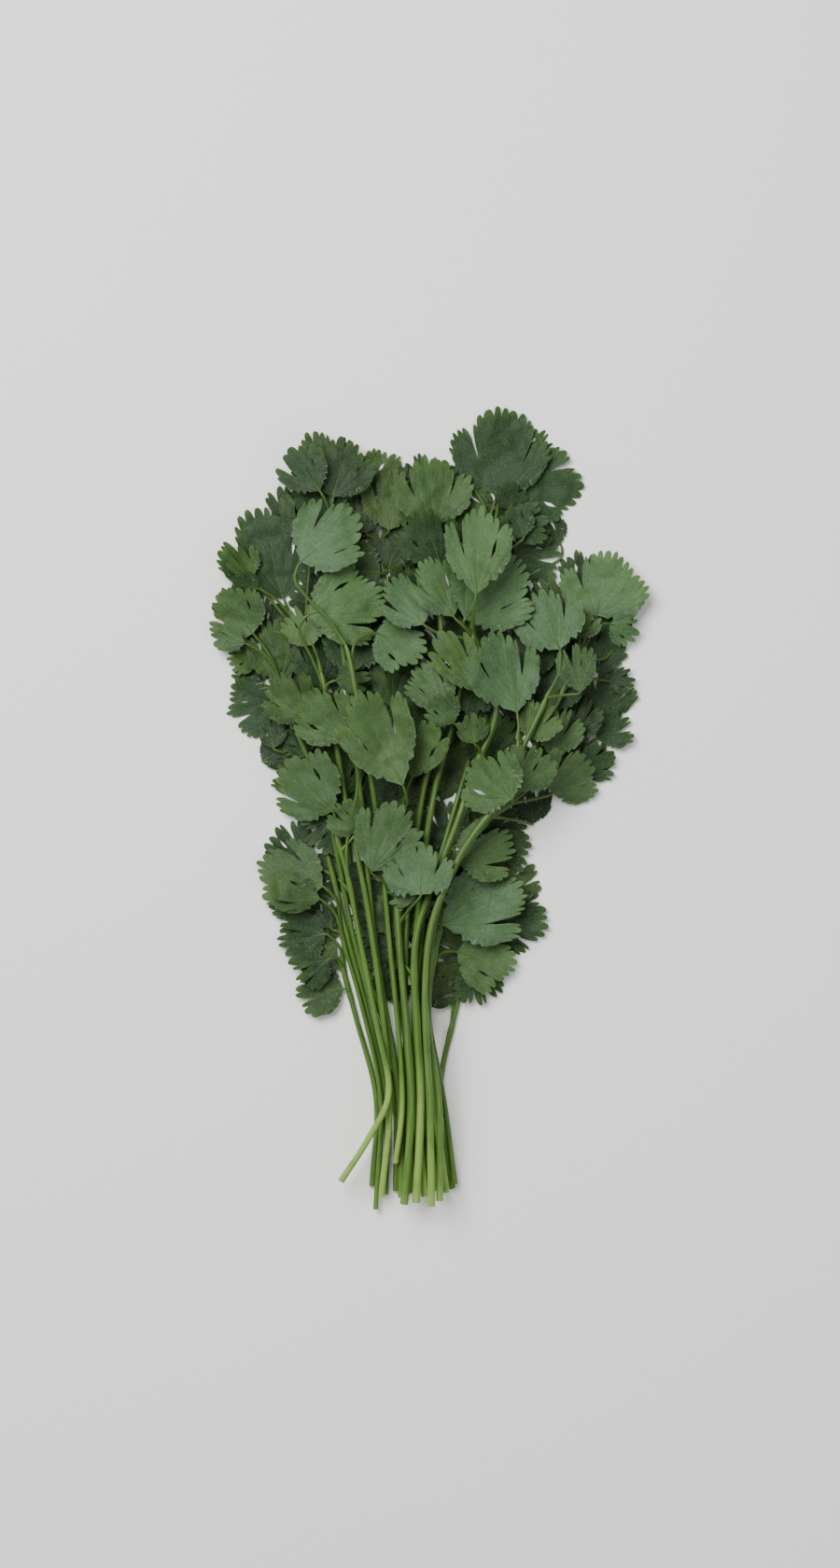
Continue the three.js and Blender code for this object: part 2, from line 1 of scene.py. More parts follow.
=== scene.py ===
# A bunch of fresh coriander lying on its back: stalks, leaf stalks and fan-shaped leaflets.
# The layout is in millimetres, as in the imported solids, and mm turns it into metres.

import json
import math
import bpy
import bmesh
import numpy as np
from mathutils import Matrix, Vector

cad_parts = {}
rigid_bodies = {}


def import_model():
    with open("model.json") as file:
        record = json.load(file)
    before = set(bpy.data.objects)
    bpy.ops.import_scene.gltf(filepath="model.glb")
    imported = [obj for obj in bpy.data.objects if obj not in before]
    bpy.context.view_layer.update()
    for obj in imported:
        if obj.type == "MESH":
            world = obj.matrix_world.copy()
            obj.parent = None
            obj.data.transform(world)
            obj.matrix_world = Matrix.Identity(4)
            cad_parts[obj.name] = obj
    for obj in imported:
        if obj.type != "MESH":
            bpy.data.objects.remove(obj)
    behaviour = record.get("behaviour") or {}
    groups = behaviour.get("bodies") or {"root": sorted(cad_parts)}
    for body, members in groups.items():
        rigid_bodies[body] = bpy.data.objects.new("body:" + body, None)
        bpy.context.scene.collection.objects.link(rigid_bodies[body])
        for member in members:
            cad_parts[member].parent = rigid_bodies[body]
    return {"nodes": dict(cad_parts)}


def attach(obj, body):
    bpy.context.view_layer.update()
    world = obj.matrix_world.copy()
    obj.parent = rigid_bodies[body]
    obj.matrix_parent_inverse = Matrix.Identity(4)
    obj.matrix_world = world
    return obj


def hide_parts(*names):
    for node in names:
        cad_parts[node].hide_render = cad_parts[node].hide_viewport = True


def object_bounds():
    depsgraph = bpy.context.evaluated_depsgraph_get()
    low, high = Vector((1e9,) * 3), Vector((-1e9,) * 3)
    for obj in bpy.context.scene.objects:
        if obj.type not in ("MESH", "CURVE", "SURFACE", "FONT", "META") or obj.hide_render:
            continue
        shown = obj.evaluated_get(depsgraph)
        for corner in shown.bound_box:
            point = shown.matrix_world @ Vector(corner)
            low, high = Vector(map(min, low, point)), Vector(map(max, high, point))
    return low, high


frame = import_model()
for leftover in [thing for thing in bpy.data.objects if thing.name in ("Cube", "Light", "Camera")]:
    bpy.data.objects.remove(leftover)
solidBox = [list(corner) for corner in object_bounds()]
mm = 0.001

# The pile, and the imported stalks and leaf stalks, whose rings are found again from these.
layout = {
    "middle": (1.7, 0.6),  # of the bunch, in the layout's coordinates
    "stalkTaper": 0.72,  # of the radius, at its end
    "ringStep": 17,  # between the rings of a stalk
    "stalkRing": (5, 0.35),  # its corners, and how near a place one is found
    "curveSteps": 201,
    "stationStep": 1.5,
    "leafStalkStep": 9,
    "leafStalkRing": (4, 0.2),
    "leafStalkRadius": 0.8,
    "leafStalkBack": 0.7,  # before the nearest point, as a share of the way to it
    "leafStalkHold": (0.4, 0.35),
    "leafStalkEnd": 0.85,  # of its radius
    "heightSlack": 0.15,  # between corners that agree on a ring's height
    "boxMargin": 0.02,
}

# Lowest in the pile first. A leaflet is its base, its tip and its spread in degrees, and each leaflet has one
# tone letter: p pale, m middling, d deep green, u deeper still. The letters are partly the leaflet's own
# green and
# partly painted light and shade: darker where it lies shaded in the pile, paler where it lies lit on top.
stems = [dict(zip(("name", "slot", "girth", "tonesAndShade", "route", "leaves"), row)) for row in (
    ("low_left", "leaf_dark", 1.45, "ddd", [(-20.5, -151), (-19, -116), (-27, -84), (-34, -58)],
     [(-41, -41, -62, -37, 116), (-39, -50, -59, -53, 116), (-38, -60, -51, -69, 110)]),
    ("low_right", "leaf_dark", 1.45, "ddd", [(11.5, -152), (6.2, -116), (12, -84), (20, -56)],
     [(28, -44, 50, -45.5, 134), (19, -62, 24, -79, 120), (23, -9, 42, -7, 136)]),
    ("far_left", "leaf_dark", 1.5, "dddd",
     [(-15.5, -154), (-15.4, -116), (-31, -49), (-43, -2), (-54, 28), (-58, 39)],
     [(-61, 43, -79, 38, 146), (-44, 25, -57, 30, 120), (-67, 61, -79, 60, 130), (-57, 50, -60, 76, 100)]),
    ("far_right", "leaf_dark", 1.5, "dddud",
     [(7, -153), (2.6, -116), (-1, -70), (3, -45), (17, -15), (36, 5), (56, 21)],
     [(70.5, 37, 77, 57, 116), (69, 28, 83, 36, 100), (64, 16, 77, 21, 130), (58, 27, 66, 45, 96),
      (50, 38, 55, 63, 104)]),
    ("top_middle_dark", "leaf_dark", 1.4, "duuddddud",
     [(-2, -153.5), (-4.6, -116), (-12, -49), (-13, 10), (-14, 70), (-18, 112)],
     [(7, 3, 16, 29, 76), (-22, 127, -9, 141, 130), (-14, 96, -8, 117, 120), (-9, 74, -8, 98, 110),
      (-6, -52, -14, -29, 100), (-24, 34, -26, 58, 110), (-13, 40, -5, 64, 106), (-14, 111, -12, 136, 104),
      (-2, 28, 9, 54, 104)]),
    ("top_left_dark", "leaf_dark", 1.5, "ddddddd",
     [(-6.5, -154), (-8.2, -116), (-26, -49), (-33, 10), (-45, 58), (-51, 75)],
     [(-56, 84, -68, 121, 112), (-68, 93, -75, 105, 96), (-66, 88, -76, 92, 110), (-35, 3, -32, 28, 92),
      (-41, 48, -43, 73, 104), (-28, 54, -28, 79, 110), (-45, 104, -44, 132, 104)]),
    ("top_right_dark", "leaf_dark", 1.45, "ddddddd",
     [(3, -154), (-1, -116), (-1, -49), (10, -8), (22, 34), (32, 84), (34, 98)],
     [(39, 130, 64, 128, 130), (36, 101, 55, 103, 126), (34, 112, 50, 116, 110), (22, 15, 33, 38, 104),
      (38, 52, 44, 79, 110), (21, 95, 17, 122, 104), (17, 38, 22, 63, 112)]),
    ("left_edge", "leaf_mid", 1.35, "mdm",
     [(-11.1, -153), (-11.8, -116), (-28.5, -49), (-39, 2), (-50, 30), (-59, 58)],
     [(-68, 70, -82, 86, 130), (-47, 36, -60, 53, 116), (-71, 66, -85, 70, 84)]),
    ("top_left_fold", "leaf_dark", 1.45, "uuu",
     [(-9, -155), (-10, -116), (-20, -49), (-26, 14), (-33, 70), (-37, 110)],
     [(-38, 128, -45, 151, 110), (-36, 124, -31, 148, 124), (-41, 126, -54, 144, 90)]),
    ("top_right", "leaf_dark", 1.6, "dd",
     [(0.5, -154.5), (-2.8, -116), (-2.8, -49), (4.1, 6), (11, 32), (19, 72), (26, 108)],
     [(30, 125, 33, 161, 122), (40, 108, 34, 121, 110)]),
    ("top_middle", "leaf_mid", 1.6, "mdm",
     [(-4.5, -153), (-6.4, -116), (-7, -49), (-0.4, 6), (5.5, 32), (7, 70), (5, 92)],
     [(4, 113, 3, 141, 120), (7, 97, -2, 119, 110), (9, 40, -2, 58, 100)]),
    ("low_left_pale", "leaf_mid", 1.2, "md", [(-19.2, -160), (-17.2, -116), (-25, -78), (-35, -44)],
     [(-40, -31, -66, -20, 104), (-41, -36, -62, -31, 80)]),
    ("right", "leaf_pale", 1.5, "ppm",
     [(5, -152), (0.8, -116), (1, -70), (6, -42), (20, -10), (34, 8), (50, 36), (63, 64)],
     [(69, 77, 74, 103, 154), (74, 74, 86, 69, 110), (62, 68, 66, 80, 110)]),
    ("low_right_pale", "leaf_mid", 1.4, "mpm",
     [(12.4, -150), (8, -116), (2, -80), (5, -56), (9, -38), (10.5, -28)],
     [(13, -57, 37, -63, 110), (7, -46, 40, -31, 96), (13, -21, 36, -12, 110)]),
    ("right_middle", "leaf_mid", 1.5, "mmm",
     [(9, -152.8), (4.4, -116), (2, -72), (6, -38), (15, -18), (24, -5), (36, 3), (43, 8)],
     [(50, 21, 58, 40, 90), (51, 6, 66, 21, 128), (41, 28, 51, 42, 110)]),
    ("left_up", "leaf_pale", 1.5, "mmp",
     [(-16.8, -154.7), (-13.6, -116), (-20.7, -50), (-25.5, -23), (-31, 3), (-36, 32), (-42, 60)],
     [(-44, 65, -52, 81, 110), (-35, 51, -21, 53, 100), (-46, 77, -15.5, 85, 110)]),
    ("left_middle", "leaf_mid", 1.45, "mmm",
     [(-32.9, -148), (-22, -131), (-14, -114), (-19, -84), (-26, -49), (-30, -28), (-36, -6)],
     [(-36, -1, -57, 18, 110), (-26, -9, -36, 2, 116), (-31, 27, -47, 46, 110)]),
    ("right_up", "leaf_pale", 1.55, "mp",
     [(6.3, -155.4), (6, -116), (0.5, -75), (4, -44), (17, -14), (30, 6), (42, 30), (52, 52)],
     [(62, 46, 59.5, 66, 88), (54, 63, 45, 87, 116)]),
    ("pale_top", "leaf_pale", 1.35, "pp",
     [(-11.1, -141), (-8.5, -116), (-14, -49), (-18, -8), (-24, 30), (-30, 62), (-37, 80)],
     [(-19, 70, 0.5, 61.5, 136), (-49, 98, -26.5, 118.5, 112)]),
    ("three_fold", "leaf_pale", 1.85, "mmmpppp",
     [(-3, -156.5), (-1.2, -116), (-3.3, -53), (2.2, -34), (11.5, -10), (16, 3), (21.5, 19), (27, 31),
      (29.2, 43), (27, 54), (20, 68), (16.5, 74)],
     [(21.5, 46, 6, 71, 66), (12, 34, 3, 45, 110), (20, 26, 18, 38, 120), (0, 73, -14, 92, 104),
      (12, 76, -1, 99, 84), (16, 75, 38.5, 99, 116), (20.5, 84, 22, 120, 76)]),
    ("centre_right", "leaf_pale", 1.6, "mpm",
     [(3, -157.2), (2.4, -116), (0.5, -70), (3.5, -44), (14, -19), (24, -4), (33, 6), (37, 22), (37.5, 33)],
     [(37, 7, 45, 26, 116), (37, 38, 28, 70, 94), (35, 4, 18, 19, 130)]),
    ("centre", "leaf_mid", 1.85, "mmmpm",
     [(-7.8, -156.8), (-4.9, -116), (-10, -49), (-11, -14), (-9, 0), (-8, 6)],
     [(-21, -25, -9, 3, 96), (-5, 12, 4, 35, 76), (-3, -35, -15, -31, 110), (-1, -34, -3, -13, 146),
      (-8, 9, -27, 46, 74)])
)]

# Small leaves under the others, which fill gaps in the pile and take the tone u, darker than their own green
# as painted shade: base, tip and spread, then the height of the base and, unless level, the slopes along X
# and Y.
underLeaves = {
    "right": [(64, 56, 76, 73, 115, 1.6), (76, 65, 72, 86, 104, 0.6), (74, 51, 85, 51, 112, 1.5, 0.15, 0),
     (60, 33, 63, 47, 119, 0.4)],
    "far_right": [(11, -15, 4, 4, 124, 1.6), (0, -77, 12, -69, 114, 4.4, -0.15, 0),
     (55, 14, 43, 31, 127, 1.4, -0.15, 0), (69, 14, 71, 27, 104, 0.6), (25, -13, 41, -24, 124, 2.6),
     (22, -6, 14, 5, 125, 0.4), (10, -29, 21, -19, 111, 1.4)],
    "top_left_fold": [(-17, -3, -9, 16, 128, 2.6), (-37, 79, -49, 95, 120, 0.7, 0, 0.15),
     (-55, 117, -57, 130, 110, 3, 0, -0.15), (-41, 46, -49, 63, 120, 0.6), (-35, 25, -47, 35, 126, 0.4),
     (-24, 9, -22, 20, 129, 0.4), (-33, 115, -27, 126, 126, 1.4), (-44, 118, -59, 121, 115, 0.4),
     (-31, 109, -22, 110, 126, 0.4)],
    "right_middle": [(44, -6, 42, 11, 108, 0.6)],
    "top_right": [(13, 61, 2, 78, 129, 0.6), (32, 111, 32, 125, 127, 1.6), (28, 118, 15, 125, 106, 0.6),
     (34, 119, 36, 131, 117, 4, -0.2, 0.2), (39, 140, 50, 151, 102, 0.4), (6, 128, 14, 135, 124, 1.4),
     (0, -22, -2, -8, 121, 0.4), (3, 6, -9, 14, 111, 0.8), (19, 129, 10, 137, 117, 0.4)],
    "far_left": [(-48, -22, -59, -6, 120, 0.6), (-65, 19, -53, 26, 116, 1, 0.15, 0),
     (-37, -48, -39, -37, 114, 3.2, -0.2, -0.2), (-60, 24, -61, 36, 102, 5.1, 0.2, -0.2),
     (-37, -36, -45, -31, 104, 2.1, 0.2, 0.2)],
    "low_right": [(31, -35, 45, -23, 119, 0.6), (20, -60, 0, -56, 111, 3.5, 0.15, 0)],
    "low_left": [(-32, -72, -52, -73, 119, 2.4, 0, -0.15), (-35, -54, -49, -63, 113, 1.1, 0, -0.15),
     (-40, -53, -37, -45, 102, 1.4)],
    "top_middle_dark": [(-17, 94, -37, 99, 112, 4), (-23, 110, -26, 127, 121, 4.7, 0, -0.15),
     (1, 129, -2, 143, 119, 0.6), (-18, -49, -28, -50, 112, 4.8, 0.15, 0), (-4, 86, -9, 99, 101, 0.4),
     (-4, 69, -4, 79, 114, 0.8), (-16, 71, -24, 76, 119, 0.4), (-9, 126, 0, 136, 127, 0.8, 0.15, 0)],
    "left_edge": [(-65, 66, -65, 86, 125, 0.6), (-65, 50, -73, 62, 127, 0.6),
     (-49, 8, -58, 18, 119, 3.2, 0.2, 0.2)],
    "top_left_dark": [(-32, -23, -46, -30, 128, 0.6), (-70, 76, -82, 88, 116, 1.6),
     (-18, -75, -8, -64, 121, 2.6, 0, 0.15), (-21, -44, -29, -38, 106, 6, 0.35, 0)],
    "left_middle": [(-34, -28, -14, -32, 111, 2.6), (-32, -2, -47, -14, 109, 4.6)],
    "top_right_dark": [(64, 87, 62, 104, 109, 0.6), (48, 73, 49, 91, 112, 1.6), (55, 106, 46, 115, 124, 0.6),
     (52, 80, 45, 92, 102, 2.4), (4, -53, -5, -44, 116, 0.4), (43, 101, 32, 103, 115, 0.4),
     (43, 82, 40, 90, 113, 0.4)],
    "top_middle": [(-11, -56, -26, -57, 122, 3), (9, 25, 9, 36, 130, 1.8, 0, -0.15)],
    "right_up": [(39, 28, 30, 46, 103, 0.6), (57, 55, 53, 71, 124, 0.4)],
    "three_fold": [(12, 82, 27, 68, 129, 2.6), (-10, -60, 0, -62, 124, 3.7, -0.35, 0)],
    "centre": [(-7, 2, 2, 14, 112, 3.6), (-3, -6, -6, 6, 109, 1.8)],
    "left_up": [(-32, -2, -18, 4, 100, 4.8, -0.2, -0.2)],
    "low_right_pale": [(19, -34, -1, -34, 125, 3.5, 0.15, 0)],
    "pale_top": [(-27, 65, -14, 75, 115, 0.7, 0.15, 0), (-41, 84, -43, 96, 112, 0.3, 0, 0.15)],
}


def draw(number):
    value = math.sin(number * 127.1) * 43758.5453
    return value - math.floor(value)


def mix(start, end, share):
    return start + (end - start) * share


def smooth(low, high, value):
    share = np.clip((value - low) / (high - low), 0, 1)
    return share * share * (3 - 2 * share)


# Places in metres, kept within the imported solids' box.
def insideBox(places):
    low, high = np.array(solidBox)
    return np.clip(places, low + layout["boxMargin"] * mm, high - layout["boxMargin"] * mm)


def placesOf(mesh):
    places = np.zeros(len(mesh.vertices) * 3)
    mesh.vertices.foreach_get("co", places)
    return places.reshape(-1, 3)


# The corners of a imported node, each once, in the layout's millimetres.
def cornersOf(node):
    places = placesOf(frame["nodes"][node].data) / mm
    places[:, :2] += layout["middle"]
    return np.unique(np.round(places, 3), axis=0)


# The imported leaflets, whose corners are found again from these. Lengths are shares of the reach.
packedLeaf = {
    "teeth": ((21, 7), (14.5, 5), (0, 3)),  # more than this reach in mm, and how many then
    "slits": {7: (2, 5), 5: (2, 3), 3: (1, 2)},
    "thickness": 0.75,  # mm
    "fall": (0.3, 0.42),  # of the rim at the sides
    "fallPower": 2.4,
    "skew": 0.12,
    "notchShift": 0.06,
    "notchWidth": 0.05,
    "slitWidth": 0.04,
    "widthSpread": 0.02,
    "notchDepth": (0.08, 0.16),
    "slitDepth": (0.3, 0.45),
    "innerRow": (0.44, 0.14),  # where it lies, and how much nearer at its ends
    "sideReach": 0.95,
    "cornerSlack": (0.06, 0.05),  # mm, in place and in thickness
}


def leafOf(values, seed):
    baseX, baseY, tipX, tipY, spread = values
    reach = math.hypot(tipX - baseX, tipY - baseY)
    heading = math.atan2(tipY - baseY, tipX - baseX)
    teeth = next(count for least, count in packedLeaf["teeth"] if reach > least)
    slits = packedLeaf["slits"][teeth]
    leaf = {"base": np.array([baseX, baseY], float), "reach": reach, "seed": seed, "teeth": teeth,
            "heading": heading, "ahead": np.array([math.cos(heading), math.sin(heading)]),
            "spread": math.radians(spread),
            "fall": mix(*packedLeaf["fall"], draw(seed + 1)),
            "skew": packedLeaf["skew"] * (draw(seed + 2) - 0.5),
            "slits": slits, "notches": [], "widths": [], "depths": []}
    for k in range(1, teeth):
        kind = "slit" if k in slits else "notch"
        shift = packedLeaf["notchShift"] * (draw(seed + 3 + k) - 0.5)
        leaf["notches"].append(-1 + 2 * k / teeth + shift)
        leaf["widths"].append(packedLeaf[kind + "Width"] + packedLeaf["widthSpread"] * draw(seed + 13 + k))
        leaf["depths"].append(mix(*packedLeaf[kind + "Depth"], draw(seed + (23 if k in slits else 33) + k)))
    return leaf


def edgeOf(leaf, place):
    fall = leaf["fall"] * np.abs(place) ** packedLeaf["fallPower"]
    return leaf["reach"] * (1 - fall + leaf["skew"] * place)


def onFan(leaf, place, reach):
    angle = leaf["heading"] + np.asarray(place) * leaf["spread"] / 2
    x, y = leaf["base"]
    return np.stack([x + reach * np.cos(angle), y + reach * np.sin(angle)], axis=-1)


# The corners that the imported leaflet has: base, inner row and outline, as place and reach.
def packedCorners(leaf):
    rowReach, rowFall = packedLeaf["innerRow"]
    inner = 4 if leaf["teeth"] == 7 else 3
    corners = [(0.0, 0.0)]
    for index in range(inner):
        place = -1 + 2 * index / (inner - 1)
        corners.append((place, leaf["reach"] * rowReach * (1 - rowFall * place * place)))
    rim = [(-1.0, packedLeaf["sideReach"])]
    for middle, width, depth in zip(leaf["notches"], leaf["widths"], leaf["depths"]):
        rim += [(middle - width, 1), (middle, 1 - depth), (middle + width, 1)]
    rim.append((1.0, packedLeaf["sideReach"]))
    return np.array(corners + [(place, edgeOf(leaf, place) * share) for place, share in rim]).T


# A smooth surface through heights at points: a thin plate, slightly relaxed.
def fitSurface(points, heights, relax=0.02):
    middle = points.mean(0)
    scale = max(1e-6, np.abs(points - middle).max())
    known = (points - middle) / scale

    def bend(apart):
        return np.where(apart > 1e-9, apart * apart * np.log(np.maximum(apart, 1e-9)), 0)

    count = len(known)
    apart = np.linalg.norm(known[:, None] - known[None], axis=2)
    plane = np.hstack([np.ones((count, 1)), known])
    system = np.zeros((count + 3, count + 3))
    system[:count, :count] = bend(apart) + relax * np.eye(count)
    system[:count, count:] = plane
    system[count:, :count] = plane.T
    answer = np.linalg.solve(system, np.concatenate([heights, np.zeros(3)]))

    def surface(places):
        flat = (np.asarray(places).reshape(-1, 2) - middle) / scale
        away = np.linalg.norm(flat[:, None] - known[None], axis=2)
        found = bend(away) @ answer[:count] + answer[count] + flat @ answer[count + 1:]
        return found.reshape(np.asarray(places).shape[:-1])

    return surface


def cornersNear(corners, place, within):
    return corners[np.hypot(corners[:, 0] - place[0], corners[:, 1] - place[1]) < within]


def surfaceOf(leaf, corners):
    placeSlack, thicknessSlack = packedLeaf["cornerSlack"]
    known, heights = [], []
    for point in onFan(leaf, *packedCorners(leaf)):
        near = cornersNear(corners, point, placeSlack)
        if len(near) < 2:
            continue
        low, high = near[:, 2].min(), near[:, 2].max()
        if abs(high - low - packedLeaf["thickness"]) < thicknessSlack:
            known.append(point)
            heights.append((low + high) / 2)
    return fitSurface(np.array(known), np.array(heights))


def slopeThrough(base, height, slopeX=0, slopeY=0):
    return lambda places: height + (np.asarray(places) - base) @ np.array([slopeX, slopeY])


# The route's curve through its points, as a function of a share from 0 to 1.
def curveThrough(route):
    points = np.array(route, float)
    ends = [2 * points[0] - points[1], *points, 2 * points[-1] - points[-2]]

    def at(share):
        place = share * (len(points) - 1)
        index = min(int(place), len(points) - 2)
        weight = place - index
        p0, p1, p2, p3 = ends[index:index + 4]
        d0, d1, d2 = [max(1e-4, np.dot(b - a, b - a) ** 0.25) for a, b in ((p0, p1), (p1, p2), (p2, p3))]
        leave = ((p1 - p0) / d0 - (p2 - p0) / (d0 + d1) + (p2 - p1) / d1) * d1
        arrive = ((p2 - p1) / d1 - (p3 - p1) / (d1 + d2) + (p3 - p2) / d2) * d1
        return (p1 + leave * weight + (3 * (p2 - p1) - 2 * leave - arrive) * weight ** 2
                + (2 * (p1 - p2) + leave + arrive) * weight ** 3)

    return at


def lengthsOf(path):
    return np.concatenate([[0], np.cumsum(np.linalg.norm(np.diff(path, axis=0), axis=1))])


# The height of a packed ring's middle, from those of its corners that can be found.
def ringHeight(stem, middle, forward, radius, sides, within):
    across = np.array([forward[1], -forward[0]]) / max(1e-9, math.hypot(*forward))
    found = []
    for side in range(sides):
        angle = 2 * math.pi * (side + 0.5) / sides - math.pi / 2
        near = cornersNear(stem["corners"], middle + across * radius * math.cos(angle), within)
        found += list(near[:, 2] - radius * math.sin(angle))
    best, support = None, 1
    for height in found:
        agreeing = [other for other in found if abs(other - height) < layout["heightSlack"]]
        if len(agreeing) > support:
            best, support = sum(agreeing) / len(agreeing), len(agreeing)
    return best


def fillGaps(heights):
    known = [index for index, height in enumerate(heights) if height is not None]
    return np.interp(range(len(heights)), known, [heights[index] for index in known])


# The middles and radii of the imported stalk's rings, and its curve.
def stalkRings(stem):
    at = curveThrough(stem["route"])
    shares = np.linspace(0, 1, layout["curveSteps"])
    lengths = lengthsOf([at(share) for share in shares])
    count = int(math.floor(lengths[-1] / layout["ringStep"] + 0.5)) + 1
    spaced = np.interp(np.linspace(0, lengths[-1], count), lengths, shares)
    middles = np.array([at(share) for share in spaced])
    radii = stem["girth"] * np.linspace(1, layout["stalkTaper"], count)
    heights = []
    for index in range(count):
        forward = middles[min(count - 1, index + 1)] - middles[max(0, index - 1)]
        heights.append(ringHeight(stem, middles[index], forward, radii[index], *layout["stalkRing"]))
    return (np.column_stack([middles, fillGaps(heights)]), radii), (at, shares, lengths)


def stationsOf(middles, radii):
    places, girths = [], []
    for index in range(len(middles) - 1):
        steps = math.ceil(np.linalg.norm(middles[index + 1] - middles[index]) / layout["stationStep"])
        for step in range(steps):
            places.append(mix(middles[index], middles[index + 1], step / steps))
            girths.append(mix(radii[index], radii[index + 1], step / steps))
    return np.array([*places, middles[-1]]), np.array([*girths, radii[-1]])


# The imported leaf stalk, from inside the stalk to the leaflet's base.
def leafStalkRings(leaf, stem):
    stations, girths = stationsOf(*stem["rings"])
    base = np.array([*leaf["base"], float(leaf["surface"](leaf["base"]))])
    apart = np.linalg.norm(stations - base, axis=1)
    nearest = int(apart.argmin())
    back = int(math.floor(layout["leafStalkBack"] * apart[nearest] / layout["stationStep"] + 0.5))
    start = max(1, min(nearest, len(stations) - 2) - back)
    origin = stations[start]
    along = stations[start + 1] - origin
    along /= np.linalg.norm(along)
    length = np.linalg.norm(base - origin)
    leave, arrive = layout["leafStalkHold"]
    ahead = np.array([*leaf["ahead"], 0])
    hold = [origin, origin + along * leave * length, base - ahead * arrive * length, base]
    steps = max(2, min(5, int(math.floor(length / layout["leafStalkStep"] + 0.5))))
    shares = np.linspace(0, 1, steps + 1)[:, None]
    middles = (hold[0] * (1 - shares) ** 3 + 3 * hold[1] * shares * (1 - shares) ** 2
               + 3 * hold[2] * shares ** 2 * (1 - shares) + hold[3] * shares ** 3)
    thick, end = layout["leafStalkRadius"], layout["leafStalkEnd"]
    radii = np.linspace(min(thick, girths[start] * end), thick * end, steps + 1)
    for index in range(1, steps):
        forward = (middles[index + 1] - middles[index - 1])[:2]
        height = ringHeight(stem, middles[index][:2], forward, radii[index], *layout["leafStalkRing"])
        if height is not None:
            middles[index][2] = height
    return middles, radii


seed = 0
for stem in stems:
    stem["node"] = "stem_" + stem["name"]
    stem["corners"] = cornersOf(stem["node"])
    stem["rings"], stem["curve"] = stalkRings(stem)
    stem["fans"] = []
    for values in stem["leaves"]:
        seed += 50
        leaf = leafOf(values, seed)
        leaf["surface"] = surfaceOf(leaf, stem["corners"])
        stem["fans"].append(leaf)
    for values in underLeaves.get(stem["name"], []):
        leaf = leafOf(values[:5], 50 * int(300 + values[0] + 3 * values[1]))
        leaf["surface"] = slopeThrough(leaf["base"], *values[5:])
        stem["fans"].append(leaf)
        # a leaf under the others takes u, a painted shade
        stem["tonesAndShade"] += "u"
    for leaf in stem["fans"]:
        leaf["stalk"] = leafStalkRings(leaf, stem)
    print("layout", stem["name"], "leaflets", len(stem["fans"]))

stalk = {
    "sides": 18,
    "rings": 90,
    "insets": (0.16, 0.34),  # of the cut face, to its ring and to its pith
    "ridge": 0.06,  # depth of the furrows, as a share of the radius
    "girth": 0.93,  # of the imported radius
    "wobbles": ((0.02, 9, 1), (0.015, 3.7, 2)),  # how much, over how many mm, and from what shift
    "twist": 1.5,  # radians at the most
    "cutSlant": 0.28,  # of the knife's cut, as a slope
    "slantFade": 5,  # mm
    "cutRecess": 0.35,  # mm
    "pithEdge": (0.5, 0.75),  # as shares of the radius
    "cutEdge": (0.86, 0.98),
    "nodeSwelling": 0.16,  # where a leaf stalk leaves
    "nodeLength": 3.2,  # mm
    "overrun": 2.0,  # past the last leaf stalk, in mm
    "tip": (5, 0.6),  # mm over which it narrows at the end, and by how much
    "step": 1.5,  # of the path, in mm
    "eased": 4,  # points to either side that level a height
    "palest": ("left_middle", "three_fold"),
}
leafStalk = {
    "sides": 8,
    "rings": 24,
    "base": 1.25,  # where it leaves the stalk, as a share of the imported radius
    "middle": 0.86,
    "narrowing": 5,  # from the one to the other, in mm
    "ribReach": 0.3,  # of the rib under the blade, as a share of the leaflet's
    "ribEnd": 0.07,  # mm
    "ribRise": 0.06,  # of the rib's middle over the blade's, in mm
    "ribEarly": 1.5,  # mm before the blade, where it begins to thin
    "step": 0.6,
    "eased": 2,
    "laterThanStalk": 20,  # mm further from the cut, in its colours
}


def deselect():
    if bpy.context.object and bpy.context.object.mode != "OBJECT":
        bpy.ops.object.mode_set(mode="OBJECT")
    bpy.ops.object.select_all(action="DESELECT")


# Selects the edges or faces of the piece being edited for which a test holds.
def pick(piece, kind, test):
    bpy.ops.mesh.select_mode(type=kind)
    bpy.ops.mesh.select_all(action="DESELECT")
    shell = bmesh.from_edit_mesh(piece.data)
    for part in (shell.edges if kind == "EDGE" else shell.faces):
        if test(part):
            part.select = True
    bmesh.update_edit_mesh(piece.data)


def copyOf(mesh, name):
    piece = bpy.data.objects.new(name, mesh.copy())
    bpy.context.scene.collection.objects.link(piece)
    return piece


def setAttribute(piece, label, values, domain="POINT"):
    values = np.asarray(values).astype(np.float32)
    piece.data.attributes.new(label, "FLOAT", domain).data.foreach_set("value", values)


# A straight stalk of length and radius 1 up the Z axis, with its cut end at 0.
def straightStalk(name, sides, rings, insets=()):
    deselect()
    bpy.ops.mesh.primitive_cylinder_add(vertices=sides, radius=1, depth=1, location=(0, 0, 0.5))
    piece = bpy.context.object
    piece.name = name
    bpy.ops.object.transform_apply(location=True, rotation=False, scale=False)
    bpy.ops.object.mode_set(mode="EDIT")
    pick(piece, "EDGE", lambda edge: abs(edge.verts[0].co.z - edge.verts[1].co.z) > 0.9)
    bpy.ops.mesh.subdivide(number_cuts=rings - 1)
    for thickness in insets:
        pick(piece, "FACE", lambda face: len(face.verts) == sides and face.calc_center_median().z < 0.5)
        bpy.ops.mesh.inset(thickness=thickness, depth=0)
    bpy.ops.object.mode_set(mode="OBJECT")
    return piece


# A path's places or directions at lengths along it.
def alongPath(wanted, lengths, values):
    return np.column_stack([np.interp(wanted, lengths, values[:, axis]) for axis in range(3)])


